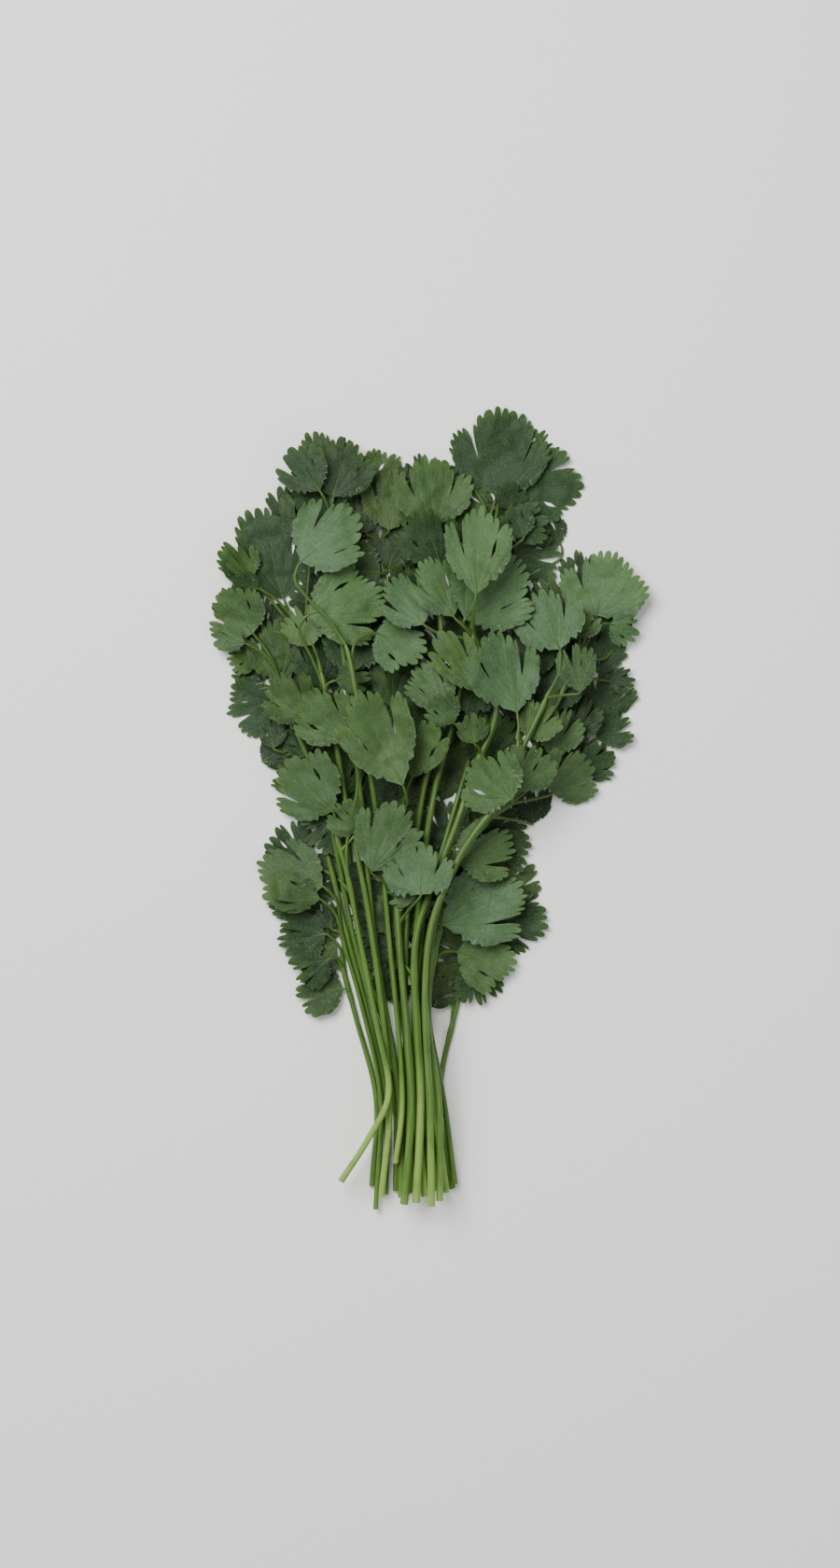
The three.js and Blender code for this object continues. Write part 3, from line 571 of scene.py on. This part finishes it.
# Lays a copy of a straight stalk along a path, with the radius that radiusAt gives.
def layAlong(master, name, path, radiusAt, slant=(0, 0), recess=0.0, twist=0.0, fromCut=0.0):
    piece = copyOf(master.data, name)
    places = placesOf(piece.data)
    lengths = lengthsOf(path)
    outward = np.hypot(places[:, 0], places[:, 1])
    angle = np.arctan2(places[:, 1], places[:, 0]) + twist * places[:, 2]
    along = places[:, 2] * lengths[-1]
    atCut = along < 0.01
    radius = radiusAt(along)
    lean = slant[0] * (1 - smooth(0, stalk["slantFade"], along)) * outward * radius * np.cos(angle - slant[1])
    sunk = recess * (1 - smooth(*stalk["pithEdge"], outward)) * atCut
    middle = alongPath(along, lengths, path)
    forward = alongPath(along, lengths, np.gradient(path, lengths, axis=0))
    forward /= np.linalg.norm(forward, axis=1)[:, None]
    across = np.column_stack([forward[:, 1], -forward[:, 0], np.zeros(len(forward))])
    across /= np.linalg.norm(across, axis=1)[:, None]
    over = np.cross(across, forward)
    around = across * np.cos(angle)[:, None] + over * np.sin(angle)[:, None]
    result = middle + around * (outward * radius)[:, None] + forward * (lean + sunk)[:, None]
    result[:, 2] = np.maximum(result[:, 2], layout["boxMargin"])
    result[:, :2] -= layout["middle"]
    piece.data.vertices.foreach_set("co", insideBox(result * mm).ravel())
    cutFace = (1.0 - smooth(*stalk["cutEdge"], outward)) * (atCut & (master is stalkMaster))
    setAttribute(piece, "fromCut", fromCut + along)
    setAttribute(piece, "cutFace", cutFace)
    setAttribute(piece, "around", angle / (2 * math.pi))
    piece.data.update()
    return piece


def joined(parts, name):
    deselect()
    for part in parts:
        part.select_set(True)
    bpy.context.view_layer.objects.active = parts[0]
    bpy.ops.object.join()
    piece = bpy.context.object
    piece.name = name
    piece.data.name = name
    return piece


# Runs a mesh operator on all of the active piece.
def onWhole(operator, **settings):
    bpy.ops.object.mode_set(mode="EDIT")
    bpy.ops.mesh.select_all(action="SELECT")
    operator(**settings)
    bpy.ops.object.mode_set(mode="OBJECT")


# Heights levelled by the mean of those to either side.
def levelled(heights, half):
    kernel = np.ones(2 * half + 1) / (2 * half + 1)
    return np.convolve(np.pad(heights, half, mode="edge"), kernel, mode="valid")


# A smooth path through points, with its heights levelled except at the ends.
def easedPath(points):
    at = curveThrough(points)
    dense = np.array([at(share) for share in np.linspace(0, 1, 12 * len(points))])
    lengths = lengthsOf(dense)
    count = max(4, int(lengths[-1] / leafStalk["step"]) + 1)
    path = alongPath(np.linspace(0, lengths[-1], count), lengths, dense)
    fromEnds = np.minimum(np.arange(count), np.arange(count)[::-1])
    share = np.minimum(1, fromEnds / leafStalk["eased"])
    path[:, 2] = mix(path[:, 2], levelled(path[:, 2], leafStalk["eased"]), share)
    return path


def stemPath(stem):
    at, shares, lengths = stem["curve"]
    middles, radii = stem["rings"]
    wanted = np.linspace(0, lengths[-1], int(lengths[-1] / stalk["step"]) + 1)
    flat = np.array([at(share) for share in np.interp(wanted, lengths, shares)])
    rings = np.linspace(0, lengths[-1], len(radii))
    return np.column_stack([flat, levelled(np.interp(wanted, rings, middles[:, 2]), stalk["eased"])])


# A leaflet's stalk, which runs on as a rib under its blade.
def buildLeafStalk(leaf, fork):
    middles, radii = leaf["stalk"]
    reach = leafStalk["ribReach"] * leaf["reach"]
    ribs = leaf["base"] + leaf["ahead"] * np.linspace(0.12, 1, 6)[:, None] * reach
    ribHeights = leaf["surface"](ribs) + leafStalk["ribRise"] + packedLeaf["thickness"] * 0.1
    path = easedPath(np.vstack([middles[:-1], np.append(leaf["base"], leaf["surface"](leaf["base"]) + 0.2),
                                np.column_stack([ribs, ribHeights])]))
    whole = np.linalg.norm(np.diff(path, axis=0), axis=1).sum()
    free = whole - reach - leafStalk["ribEarly"]
    start, middle = radii[0] * leafStalk["base"], radii[-1] * leafStalk["middle"]

    def radiusAt(along):
        before = mix(start, middle, smooth(0, leafStalk["narrowing"], along))
        rib = mix(middle, leafStalk["ribEnd"], np.clip((along - free) / (whole - free), 0, 1) ** 0.6)
        return np.where(along < free, before, rib)

    return layAlong(leafStalkMaster, "leafStalk", path, radiusAt, fromCut=fork + leafStalk["laterThanStalk"])


def buildStalk(stem, number):
    path = stemPath(stem)
    lengths = lengthsOf(path)
    forks = [lengths[np.linalg.norm(path - leaf["stalk"][0][0], axis=1).argmin()] for leaf in stem["fans"]]
    last = min(lengths[-1], max(forks) + stalk["overrun"])
    path = path[lengths <= last]
    tipLength, tipLoss = stalk["tip"]

    def radiusAt(along):
        radius = stem["girth"] * mix(1, layout["stalkTaper"], along / lengths[-1])
        swelling = sum(np.exp(-((along - fork) / stalk["nodeLength"]) ** 2) for fork in forks)
        wobble = sum(much * np.sin(along / over + shift * number) for much, over, shift in stalk["wobbles"])
        tip = 1 - tipLoss * smooth(last - tipLength, last, along)
        return radius * (stalk["girth"] + stalk["nodeSwelling"] * np.minimum(1, swelling) + wobble) * tip

    slant = (stalk["cutSlant"] * draw(900 + number), 6.28 * draw(930 + number))
    twist = stalk["twist"] * draw(960 + number)
    parts = [layAlong(stalkMaster, "stalk", path, radiusAt, slant, stalk["cutRecess"], twist)]
    parts += [buildLeafStalk(leaf, fork) for leaf, fork in zip(stem["fans"], forks)]
    piece = joined(parts, "stalk_" + stem["name"])
    tone = -0.1 if stem["name"] in stalk["palest"] else draw(990 + number)
    setAttribute(piece, "tone", np.full(len(piece.data.vertices), tone))
    onWhole(bpy.ops.mesh.normals_make_consistent, inside=False)
    bpy.ops.object.shade_smooth_by_angle(angle=math.radians(42))
    return piece


blade = {
    "thickness": 0.34,  # mm
    "columnsPerTooth": 18,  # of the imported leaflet
    "toothWidth": 2.9,  # mm, of the small teeth, at most three to a packed one
    "rows": (0, 0.08, 0.19, 0.31, 0.42, 0.48, 0.54, 0.6, 0.66, 0.72, 0.78, 0.84, 0.9, 0.95, 1.0),
    "slitRow": 7,  # at which the slits between the lobes begin
    "toothNotch": (2.4, 5.0),  # depth between two small teeth, in mm
    "endNotch": 0.03,  # at the outline's two ends, as a share of the reach
    "toothSquareness": 3.0,  # 1 makes them pointed
    "uneven": 0.055,  # of the teeth, as a share of the reach
    "sideTeeth": (0.42, 0.18),  # start of a side's first tooth and its length, as shares of the reach
    "sideNotch": 4.2,  # mm
    "sideSwell": 0.9,  # mm
    "sideEdge": 0.72,  # of the half width, beyond which a side moves
    "slitNotch": 0.1,  # at the mouth of a slit, as a share of the reach
    "slitWidth": (0.4, 1.0),  # half of it, in mm
    "slitsClosed": 0.5,  # chance that one closes again at the rim, never both
    "lensEnd": 0.87,  # where it does, as a share of the slit
    "lensWidth": 0.75,  # of a closed slit, as a share of an open one's
    "mouth": 1.5,  # of an open slit, as a share of its width
    "lobeDrop": 0.15,  # of the rim, from the middle of a lobe to its sides
    "evenRadius": 0.93,  # of the rows near the base, as a share of the reach
    "sidesIn": 0.85,  # how much narrower the fan starts at its base
    "sidesOut": 0.2,  # how much wider it is halfway
    "furrow": 0.07,  # of the blade along its veins, in mm
    "toothCurl": 0.5,  # mm
    "ripple": 0.22,  # mm
    "lowest": 0.03,  # mm over the surface
    "weld": 0.012,  # mm
    "turnedDown": -0.7,  # a normal lower than this is on an underside
    # places of the tone letters on the leaf ramp, partly painted shade and light; u is painted shade
    "letters": {"u": -0.3, "d": 0.0, "m": 0.5, "p": 1.0},
}


# A flat blade, with columns across and rows from the base to the rim, split along its slits.
def flatBlade(teeth, slits):
    columns, rows = teeth * blade["columnsPerTooth"], len(blade["rows"]) - 1
    deselect()
    bpy.ops.mesh.primitive_grid_add(x_subdivisions=columns, y_subdivisions=rows, size=2)
    piece = bpy.context.object
    piece.name = "blade" + str(teeth)
    start = -1 + 2 * blade["slitRow"] / rows

    def atSlit(x):
        return np.any([np.abs(x + 1 - 2 * slit / teeth) < 1e-4 for slit in slits], axis=0)

    def runsUpSlit(edge):
        a, b = (corner.co for corner in edge.verts)
        return atSlit(a.x) and abs(a.x - b.x) < 1e-4 and min(a.y, b.y) > start - 1e-4

    bpy.ops.object.mode_set(mode="EDIT")
    bpy.ops.mesh.flip_normals()
    pick(piece, "EDGE", runsUpSlit)
    bpy.ops.mesh.edge_split(type="EDGE")
    bpy.ops.object.mode_set(mode="OBJECT")
    places = placesOf(piece.data)
    row = np.rint((places[:, 1] + 1) / 2 * rows).astype(int)
    side = np.zeros(len(places))
    for face in piece.data.polygons:
        for corner in face.vertices:
            side[corner] += face.center.x - places[corner, 0]
    split = atSlit(places[:, 0]) & (np.abs(side) > 1e-4) & (row > blade["slitRow"])
    return {"object": piece, "place": places[:, 0], "row": row, "side": np.where(split, np.sign(side), 0)}


# The notches between a leaflet's small teeth: their places across it and their depths.
def notchesOf(leaf, perTooth):
    bounds = [-1.0, *leaf["notches"], 1.0]
    between = [blade["endNotch"], *leaf["depths"]]
    for slit in leaf["slits"]:
        between[slit] = blade["slitNotch"]
    knots, depths = [], []
    for k in range(leaf["teeth"]):
        for part in range(perTooth):
            chance = draw(leaf["seed"] + 53 + 7 * k + part)
            shift = 0.5 * (chance - 0.5) if part else 0
            knots.append(mix(bounds[k], bounds[k + 1], (part + shift) / perTooth))
            notch = mix(*blade["toothNotch"], draw(chance * 90)) / leaf["reach"]
            depths.append(notch if part else between[k])
    return np.array([*knots, 1.0]), np.array([*depths, blade["endNotch"]])


# How far the slits push the blade aside, in mm.
def slitsOf(master, leaf, place, out):
    start = blade["rows"][blade["slitRow"]]
    share = np.clip((out - start) / (1 - start), 0, 1)
    lens = blade["lensWidth"] * np.sin(math.pi * np.clip(share / blade["lensEnd"], 0, 1) ** 0.85) ** 1.3
    mouth = blade["mouth"] * share ** 1.2
    opening = np.zeros(len(place))
    closed = False
    for slit in leaf["slits"]:
        notch = leaf["notches"][slit - 1]
        closed = not closed and draw(leaf["seed"] + 102 + slit) < blade["slitsClosed"]
        width = mix(*blade["slitWidth"], draw(leaf["seed"] + 112 + slit)) * min(1, 0.35 + leaf["reach"] / 40)
        away = np.abs(place - notch) * leaf["teeth"]
        sign = np.where(away < 1e-6, master["side"], np.sign(place - notch))
        opening += sign * width * (lens if closed else mouth) * np.clip(1 - away, 0, 1)
    return opening


def shapeBlade(master, leaf, tone, hue):
    teeth, seed, reach = leaf["teeth"], leaf["seed"], leaf["reach"]
    tooth = (master["place"] + 1) / 2 * teeth
    arc = leaf["spread"] * reach * 0.85 / teeth
    perTooth = int(np.clip(round(arc / blade["toothWidth"]), 1, 3))
    count = teeth * perTooth
    knots, depths = notchesOf(leaf, perTooth)
    place = np.interp(tooth * perTooth, range(count + 1), knots)
    small = np.clip(np.floor(tooth * perTooth).astype(int), 0, count - 1)
    within = tooth * perTooth - small
    deep = np.where(within < 0.5, depths[small], depths[small + 1])
    dip = np.abs(2 * within - 1) ** blade["toothSquareness"]
    uneven = np.array([blade["uneven"] * (draw(seed + 83 + k) - 0.6) for k in range(count)])[small]
    lobes = np.array([-1.0, *[leaf["notches"][slit - 1] for slit in leaf["slits"]], 1.0])
    lobe = np.clip(np.searchsorted(lobes, place) - 1, 0, 2)
    low, high = lobes[lobe], lobes[lobe + 1]
    aside = np.abs(2 * (place - low) / (high - low) - 1)
    edge = edgeOf(leaf, place) * (1 - blade["lobeDrop"] * aside ** 2.2)
    outline = edge * (1 + uneven * (1 - dip) - deep * dip)

    out = np.array(blade["rows"])[master["row"]]
    radius = out * mix(edge * blade["evenRadius"], outline, smooth(0.4, 1, out))
    halfArc = radius * leaf["spread"] / 2
    place = place + slitsOf(master, leaf, place, out) / np.maximum(halfArc, 0.5)
    first, long = blade["sideTeeth"]
    sideAcross = np.abs(2 * np.mod((out - first) / long + 0.2 * (draw(seed + 123) - 0.5), 1) - 1)
    pull = mix(-blade["sideSwell"], blade["sideNotch"], sideAcross ** 1.8)
    pull = pull * smooth(first - 0.02, first + 0.02, out)
    pull = pull * min(1, reach / 22) * smooth(blade["sideEdge"], 1, np.abs(place)) / np.maximum(halfArc, 2)
    bulge = blade["sidesOut"] * np.sin(math.pi * out ** 0.7)
    fan = place * (1 - pull) * (mix(blade["sidesIn"], 1, smooth(0, 0.3, out)) + bulge)
    flat = onFan(leaf, fan, radius)

    furrow = blade["furrow"] * min(1.3, arc / 6) * np.cos(2 * math.pi * tooth) * smooth(0.1, 0.7, out)
    curl = np.array([draw(seed + 133 + k) - 0.6 for k in range(count)])[small]
    curl = blade["toothCurl"] * curl * (1 - 0.6 * dip) * smooth(0.72, 1, out)
    x, y = flat.T
    wave = np.sin(x * 0.52 + seed) * np.sin(y * 0.47 + 1.7 * seed) + 0.5 * np.sin(x * 1.1 + 0.8 * y + seed)
    height = leaf["surface"](flat) + furrow + curl + blade["ripple"] * smooth(0.2, 0.8, out) * wave
    height = np.maximum(height, blade["thickness"] / 2 + blade["lowest"])

    piece = copyOf(master["object"].data, "blade")
    result = np.column_stack([flat - layout["middle"], height])
    piece.data.vertices.foreach_set("co", insideBox(result * mm).ravel())
    corner = np.zeros(len(piece.data.loops), int)
    piece.data.loops.foreach_get("vertex_index", corner)
    spot = np.column_stack([tooth[corner], out[corner]]).astype(np.float32)
    piece.data.uv_layers[0].data.foreach_set("uv", spot.ravel())
    for label, value in (("tone", tone), ("hue", hue), ("toothArc", arc)):
        setAttribute(piece, label, np.full(len(place), value))
    piece.data.update()
    return piece


def buildLeaves(stem):
    parts = []
    for letter, leaf in zip(stem["tonesAndShade"], stem["fans"]):
        # the letter's tone, partly the leaflet's own green and partly painted shade and light
        tone = blade["letters"][letter] + 0.16 * (draw(leaf["seed"] + 5) - 0.5)
        hue = 2 * draw(leaf["seed"] + 6) - 1
        parts.append(shapeBlade(bladeMasters[leaf["teeth"]], leaf, tone, hue))
    piece = joined(parts, "leaves_" + stem["name"])
    onWhole(bpy.ops.mesh.remove_doubles, threshold=blade["weld"] * mm)
    thick = piece.modifiers.new("thickness", "SOLIDIFY")
    thick.thickness = blade["thickness"] * mm
    thick.offset = 0
    bpy.ops.object.modifier_apply(modifier="thickness")
    facing = np.zeros(3 * len(piece.data.polygons), np.float32)
    piece.data.polygon_normals.foreach_get("vector", facing)
    setAttribute(piece, "underside", facing[2::3] < blade["turnedDown"], "FACE")
    bpy.ops.object.shade_smooth_by_angle(angle=math.radians(50))
    return piece


# A socket of a shader, with arithmetic.
class Wire:
    def __init__(self, finish, socket):
        self.finish = finish
        self.socket = socket

    def work(self, operation, *values):
        return self.finish.add("Math", {"operation": operation}, dict(enumerate(values or [self])))

    __add__ = lambda self, other: self.work("ADD", self, other)
    __radd__ = lambda self, other: self.work("ADD", other, self)
    __sub__ = lambda self, other: self.work("SUBTRACT", self, other)
    __rsub__ = lambda self, other: self.work("SUBTRACT", other, self)
    __mul__ = lambda self, other: self.work("MULTIPLY", self, other)
    __rmul__ = lambda self, other: self.work("MULTIPLY", other, self)
    __truediv__ = lambda self, other: self.work("DIVIDE", self, other)
    __rtruediv__ = lambda self, other: self.work("DIVIDE", other, self)
    __abs__ = lambda self: self.work("ABSOLUTE")


class Finish:
    def __init__(self, name):
        self.material = bpy.data.materials.new(name)
        self.material.use_nodes = True
        self.tree = self.material.node_tree
        self.tree.nodes.clear()

    def add(self, kind, settings=None, sockets=None, result=0):
        node = self.tree.nodes.new("ShaderNode" + kind)
        for key, value in (settings or {}).items():
            if key == "stops":
                ramp = node.color_ramp
                while len(ramp.elements) < len(value):
                    ramp.elements.new(0.5)
                for element, (place, color) in zip(ramp.elements, value):
                    element.position = place
                    element.color = color
            else:
                setattr(node, key, value)
        for key, value in (sockets or {}).items():
            if isinstance(value, Wire):
                self.tree.links.new(value.socket, node.inputs[key])
            else:
                node.inputs[key].default_value = value
        return Wire(self, node.outputs[result]) if node.outputs else None

    def attributes(self, *labels):
        return [self.add("Attribute", {"attribute_name": label}, result="Fac") for label in labels]

    def noise(self, vector, scale, detail, distortion=0.0):
        sockets = {"Scale": scale, "Detail": detail, "Distortion": distortion, "Vector": vector}
        return self.add("TexNoise", {}, sockets)

    def ease(self, value, low, high, start=0.0, end=1.0):
        sockets = {"Value": value, "From Min": low, "From Max": high, "To Min": start, "To Max": end}
        return self.add("MapRange", {"interpolation_type": "SMOOTHSTEP"}, sockets)

    def blend(self, share, first, second, kind="MIX"):
        settings = {"data_type": "RGBA", "blend_type": kind}
        return self.add("Mix", settings, {0: share, 6: first, 7: second}, result=2)

    def ramp(self, look, value):
        stops = [(place, look[name]) for place, name in look["stops"]]
        return self.add("ValToRGB", {"stops": stops}, {0: value})

    def bump(self, strength, distance, height, **sockets):
        sockets.update({"Strength": strength, "Distance": distance, "Height": height})
        return self.add("Bump", {}, sockets)

    def surface(self, sockets):
        shader = self.add("BsdfPrincipled", {}, sockets)
        self.add("OutputMaterial", {}, {"Surface": shader})
        return self.material


# A display colour, as two hexadecimal digits a channel, in the scene's linear light.
def tint(color):
    channels = [int(color[k:k + 2], 16) / 255 for k in (0, 2, 4)]
    return (*[c / 12.92 if c <= 0.04045 else ((c + 0.055) / 1.055) ** 2.4 for c in channels], 1.0)


leafLook = {
    # The tone ramp: under is painted shade for leaves under the others; deep, middling and pale are the
    # leaflets' own greens, with painted shade on the darker and painted light on the paler.
    "under": tint("172b10"),
    "deep": tint("1b3717"),
    "middling": tint("3f5930"),
    "pale": tint("456340"),
    "stops": ((0.0, "under"), (0.3, "deep"), (0.65, "middling"), (1.0, "pale")),
    "warm": tint("4a6722"),
    "cool": tint("2d4830"),
    "vein": tint("7d945f"),
    "veinShare": 0.1,
    "speck": tint("252f13"),
    "underside": tint("6f8a5c"),
    "undersideShare": 0.6,
    "roughness": 0.6,
    "rest": {"Specular IOR Level": 0.26, "Subsurface Weight": 0.28, "Subsurface Radius": (0.8, 1.0, 0.25),
             "Subsurface Scale": 0.0018, "Sheen Weight": 0.03, "Sheen Roughness": 0.5},
}
stalkLook = {
    "cutEnd": tint("7d9e45"),
    "lower": tint("496b22"),
    "upper": tint("38561b"),
    "shadow": tint("2b4514"),
    "stops": ((0.0, "cutEnd"), (0.07, "lower"), (0.45, "upper"), (1.0, "shadow")),
    "length": 260.0,  # mm from the cut end to the last stop
    "cutRing": tint("9db56a"),
    "cutPith": tint("bccb93"),
    "roughness": 0.42,
    "rest": {"Specular IOR Level": 0.35, "Subsurface Weight": 0.2, "Subsurface Radius": (0.6, 1.0, 0.3),
             "Subsurface Scale": 0.0015},
}


def leafFinish():
    look, skin = leafLook, Finish("leaf skin")
    tone, hue, arc, underside = skin.attributes("tone", "hue", "toothArc", "underside")
    fan = skin.add("UVMap", {"uv_map": "UVMap"})
    tooth = skin.add("SeparateXYZ", {}, {0: fan}, result=0)
    out = skin.add("SeparateXYZ", {}, {0: fan}, result=1)
    spot = skin.add("TexCoord", result="Object")
    blotch = skin.noise(spot, 110, 3, 0.4)
    fine = skin.noise(spot, 900, 3)
    grain = skin.noise(spot, 2600, 2)

    # A vein runs up the middle of each tooth and forks into the two small ones, with side veins off it.
    wander = (skin.noise(spot, 260, 2) - 0.5) * 0.12
    aside = abs((tooth + wander * out).work("FRACT") - 0.5)
    fork = skin.ease(out, 0.42, 0.86, 0.0, 0.25)
    apart = abs(aside - fork)
    distance = apart * out * arc
    width = skin.ease(out, 0.0, 1.0, 0.34, 0.16)
    mainVein = 1 - skin.ease(distance / width, 0.35, 1.15)
    sideAway = abs((out * 9.0 + apart * -5.0).work("FRACT") - 0.5)
    sideVein = (1 - skin.ease(sideAway, 0.03, 0.13)) * skin.ease(out, 0.3, 0.5)
    cells = skin.add("TexVoronoi", {"feature": "DISTANCE_TO_EDGE"}, {"Vector": spot, "Scale": 850.0})
    net = 1 - skin.ease(cells, 0.02, 0.16)

    # the tone ramp, which carries the painted shade and light of the tone letters
    base = skin.ramp(look, 0.3 + tone * 0.7 + (blotch - 0.5) * 0.2)
    warm = skin.blend(skin.ease(hue + (blotch - 0.5) * 1.4, 0.15, 1.3, 0.0, 0.42), base, look["warm"])
    cool = skin.blend(skin.ease(hue, -0.1, -1.0, 0.0, 0.22), warm, look["cool"])
    rimmed = skin.blend(skin.ease(out + (fine - 0.5) * 0.14, 0.8, 1.04, 0.0, 0.22), cool, look["warm"])
    netted = skin.blend(net * 0.07, rimmed, look["vein"])
    veinShare = skin.ease(tone, 0.0, 1.0, 0.35, 1.0) * look["veinShare"]
    veined = skin.blend(mainVein * veinShare, netted, look["vein"])
    sided = skin.blend(sideVein * veinShare * 0.35, veined, look["vein"])
    mottled = skin.blend(skin.ease(fine, 0.3, 0.75, 0.0, 0.22), sided, look["deep"], "MULTIPLY")
    spots = skin.add("TexVoronoi", {"feature": "F1"}, {"Vector": spot, "Scale": 75.0})
    speck = (1 - skin.ease(spots, 0.03, 0.06)) * skin.ease(blotch, 0.56, 0.6)
    specked = skin.blend(speck * 0.7, mottled, look["speck"])
    color = skin.blend(underside * look["undersideShare"], specked, look["underside"])

    relief = mainVein * -0.7 + sideVein * -0.3 + net * -0.25 + fine * 0.45 + grain * 0.15
    swell = skin.bump(1.0, 0.003, skin.noise(spot, 95, 1, 0.25))
    bumped = skin.bump(0.5, 0.00025, relief, Normal=swell)
    rough = look["roughness"] + (fine - 0.5) * 0.16 + mainVein * -0.08
    return skin.surface({"Base Color": color, "Roughness": rough, "Normal": bumped, **look["rest"]})


def stalkFinish():
    look, skin = stalkLook, Finish("stalk skin")
    fromCut, cutFace, around, tone = skin.attributes("fromCut", "cutFace", "around", "tone")
    spot = skin.add("TexCoord", result="Object")
    streaked = skin.add("CombineXYZ", {}, {0: around * 9.0, 1: fromCut * 0.02, 2: 0.0})
    streak = skin.noise(streaked, 3.0, 3)
    blotch = skin.noise(spot, 70, 2, 0.3)
    fine = skin.noise(spot, 1400, 2)
    far = fromCut / look["length"] + (blotch - 0.5) * 0.06
    base = skin.ramp(look, far + (tone - 0.35) * 0.34)
    lined = skin.blend(skin.ease(streak, 0.42, 0.7, 0.0, 0.4), base, look["cutEnd"])
    darker = skin.blend(skin.ease(blotch, 0.5, 0.75, 0.0, 0.3), lined, look["shadow"])
    pith = skin.blend(skin.ease(cutFace, 0.2, 0.9), look["cutRing"], look["cutPith"])
    color = skin.blend(skin.ease(cutFace, 0.02, 0.3), darker, pith)
    bumped = skin.bump(0.35, 0.0002, streak * 0.8 + fine * 0.3)
    rough = look["roughness"] + (fine - 0.5) * 0.14 + cutFace * 0.2
    return skin.surface({"Base Color": color, "Roughness": rough, "Normal": bumped, **look["rest"]})


stalkMaster = straightStalk("straightStalk", stalk["sides"], stalk["rings"], stalk["insets"])
leafStalkMaster = straightStalk("straightLeafStalk", leafStalk["sides"], leafStalk["rings"])
furrowed = placesOf(stalkMaster.data)
turn = np.arctan2(furrowed[:, 1], furrowed[:, 0])
furrowed[:, :2] *= (1 - stalk["ridge"] * (0.5 - 0.5 * np.cos(turn * stalk["sides"] / 2)))[:, None]
stalkMaster.data.vertices.foreach_set("co", furrowed.ravel())
bladeMasters = {teeth: flatBlade(teeth, slits) for teeth, slits in packedLeaf["slits"].items()}
print("straight stalks and flat blades made")

leafSkin = leafFinish()
stalkSkin = stalkFinish()
for number, stem in enumerate(stems):
    for piece, skin, slot in ((buildStalk(stem, number), stalkSkin, "stalk"),
                              (buildLeaves(stem), leafSkin, stem["slot"])):
        piece.data.materials.clear()
        piece.data.materials.append(skin)
        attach(piece, "root")
        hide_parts(stem["node"])
    print("stem", stem["name"], "made")
for master in (stalkMaster, leafStalkMaster, *[master["object"] for master in bladeMasters.values()]):
    bpy.data.objects.remove(master)

studio = {
    "floor": tint("f3f3f0"),
    "view": (450, 840),  # middle of the frame, in the layout's pixels
    "pixel": 0.37,  # mm
    "origin": (454, 867),  # the layout's own origin in pixels
    "frameHeight": 1680,
    "viewHeight": 16,  # mm over the floor, where a pixel has that size
    "lens": 85,
    "sensor": 36,
    "skyColor": (0.95, 0.98, 1.0, 1),
    "sky": 0.36,
    "lamps": {"key": ((-0.55, 0.6, 1.25), 35.0, 0.9), "fill": ((0.8, -0.5, 1.1), 5.0, 1.2)},
}
deselect()
bpy.ops.mesh.primitive_plane_add(size=4, location=(0, 0, -0.0002))
floor = bpy.context.object
floor.name = "floor"
floor.data.materials.append(Finish("plain floor").surface({"Base Color": studio["floor"], "Roughness": 0.9}))

world = bpy.data.worlds.new("studio")
world.use_nodes = True
sky = world.node_tree.nodes["Background"].inputs
sky["Color"].default_value = studio["skyColor"]
sky["Strength"].default_value = studio["sky"]
bpy.context.scene.world = world
for name, (place, energy, size) in studio["lamps"].items():
    x, y, z = place
    bpy.ops.object.light_add(type="AREA", location=place)
    lamp = bpy.context.object
    lamp.name = name
    lamp.data.energy = energy
    lamp.data.size = size
    lamp.rotation_euler = (math.atan2(math.hypot(x, y), z), 0, math.atan2(y, x) + math.pi / 2)

across = (studio["view"][0] - studio["origin"][0]) * studio["pixel"] - layout["middle"][0]
up = (studio["origin"][1] - studio["view"][1]) * studio["pixel"] - layout["middle"][1]
away = studio["frameHeight"] * studio["pixel"] * studio["lens"] / studio["sensor"]
over = away + studio["viewHeight"]
bpy.ops.object.camera_add(location=(across * mm, up * mm, over * mm))
camera = bpy.context.object
camera.data.lens = studio["lens"]
camera.data.clip_end = 20
bpy.context.scene.camera = camera
print("floor, light and camera made")
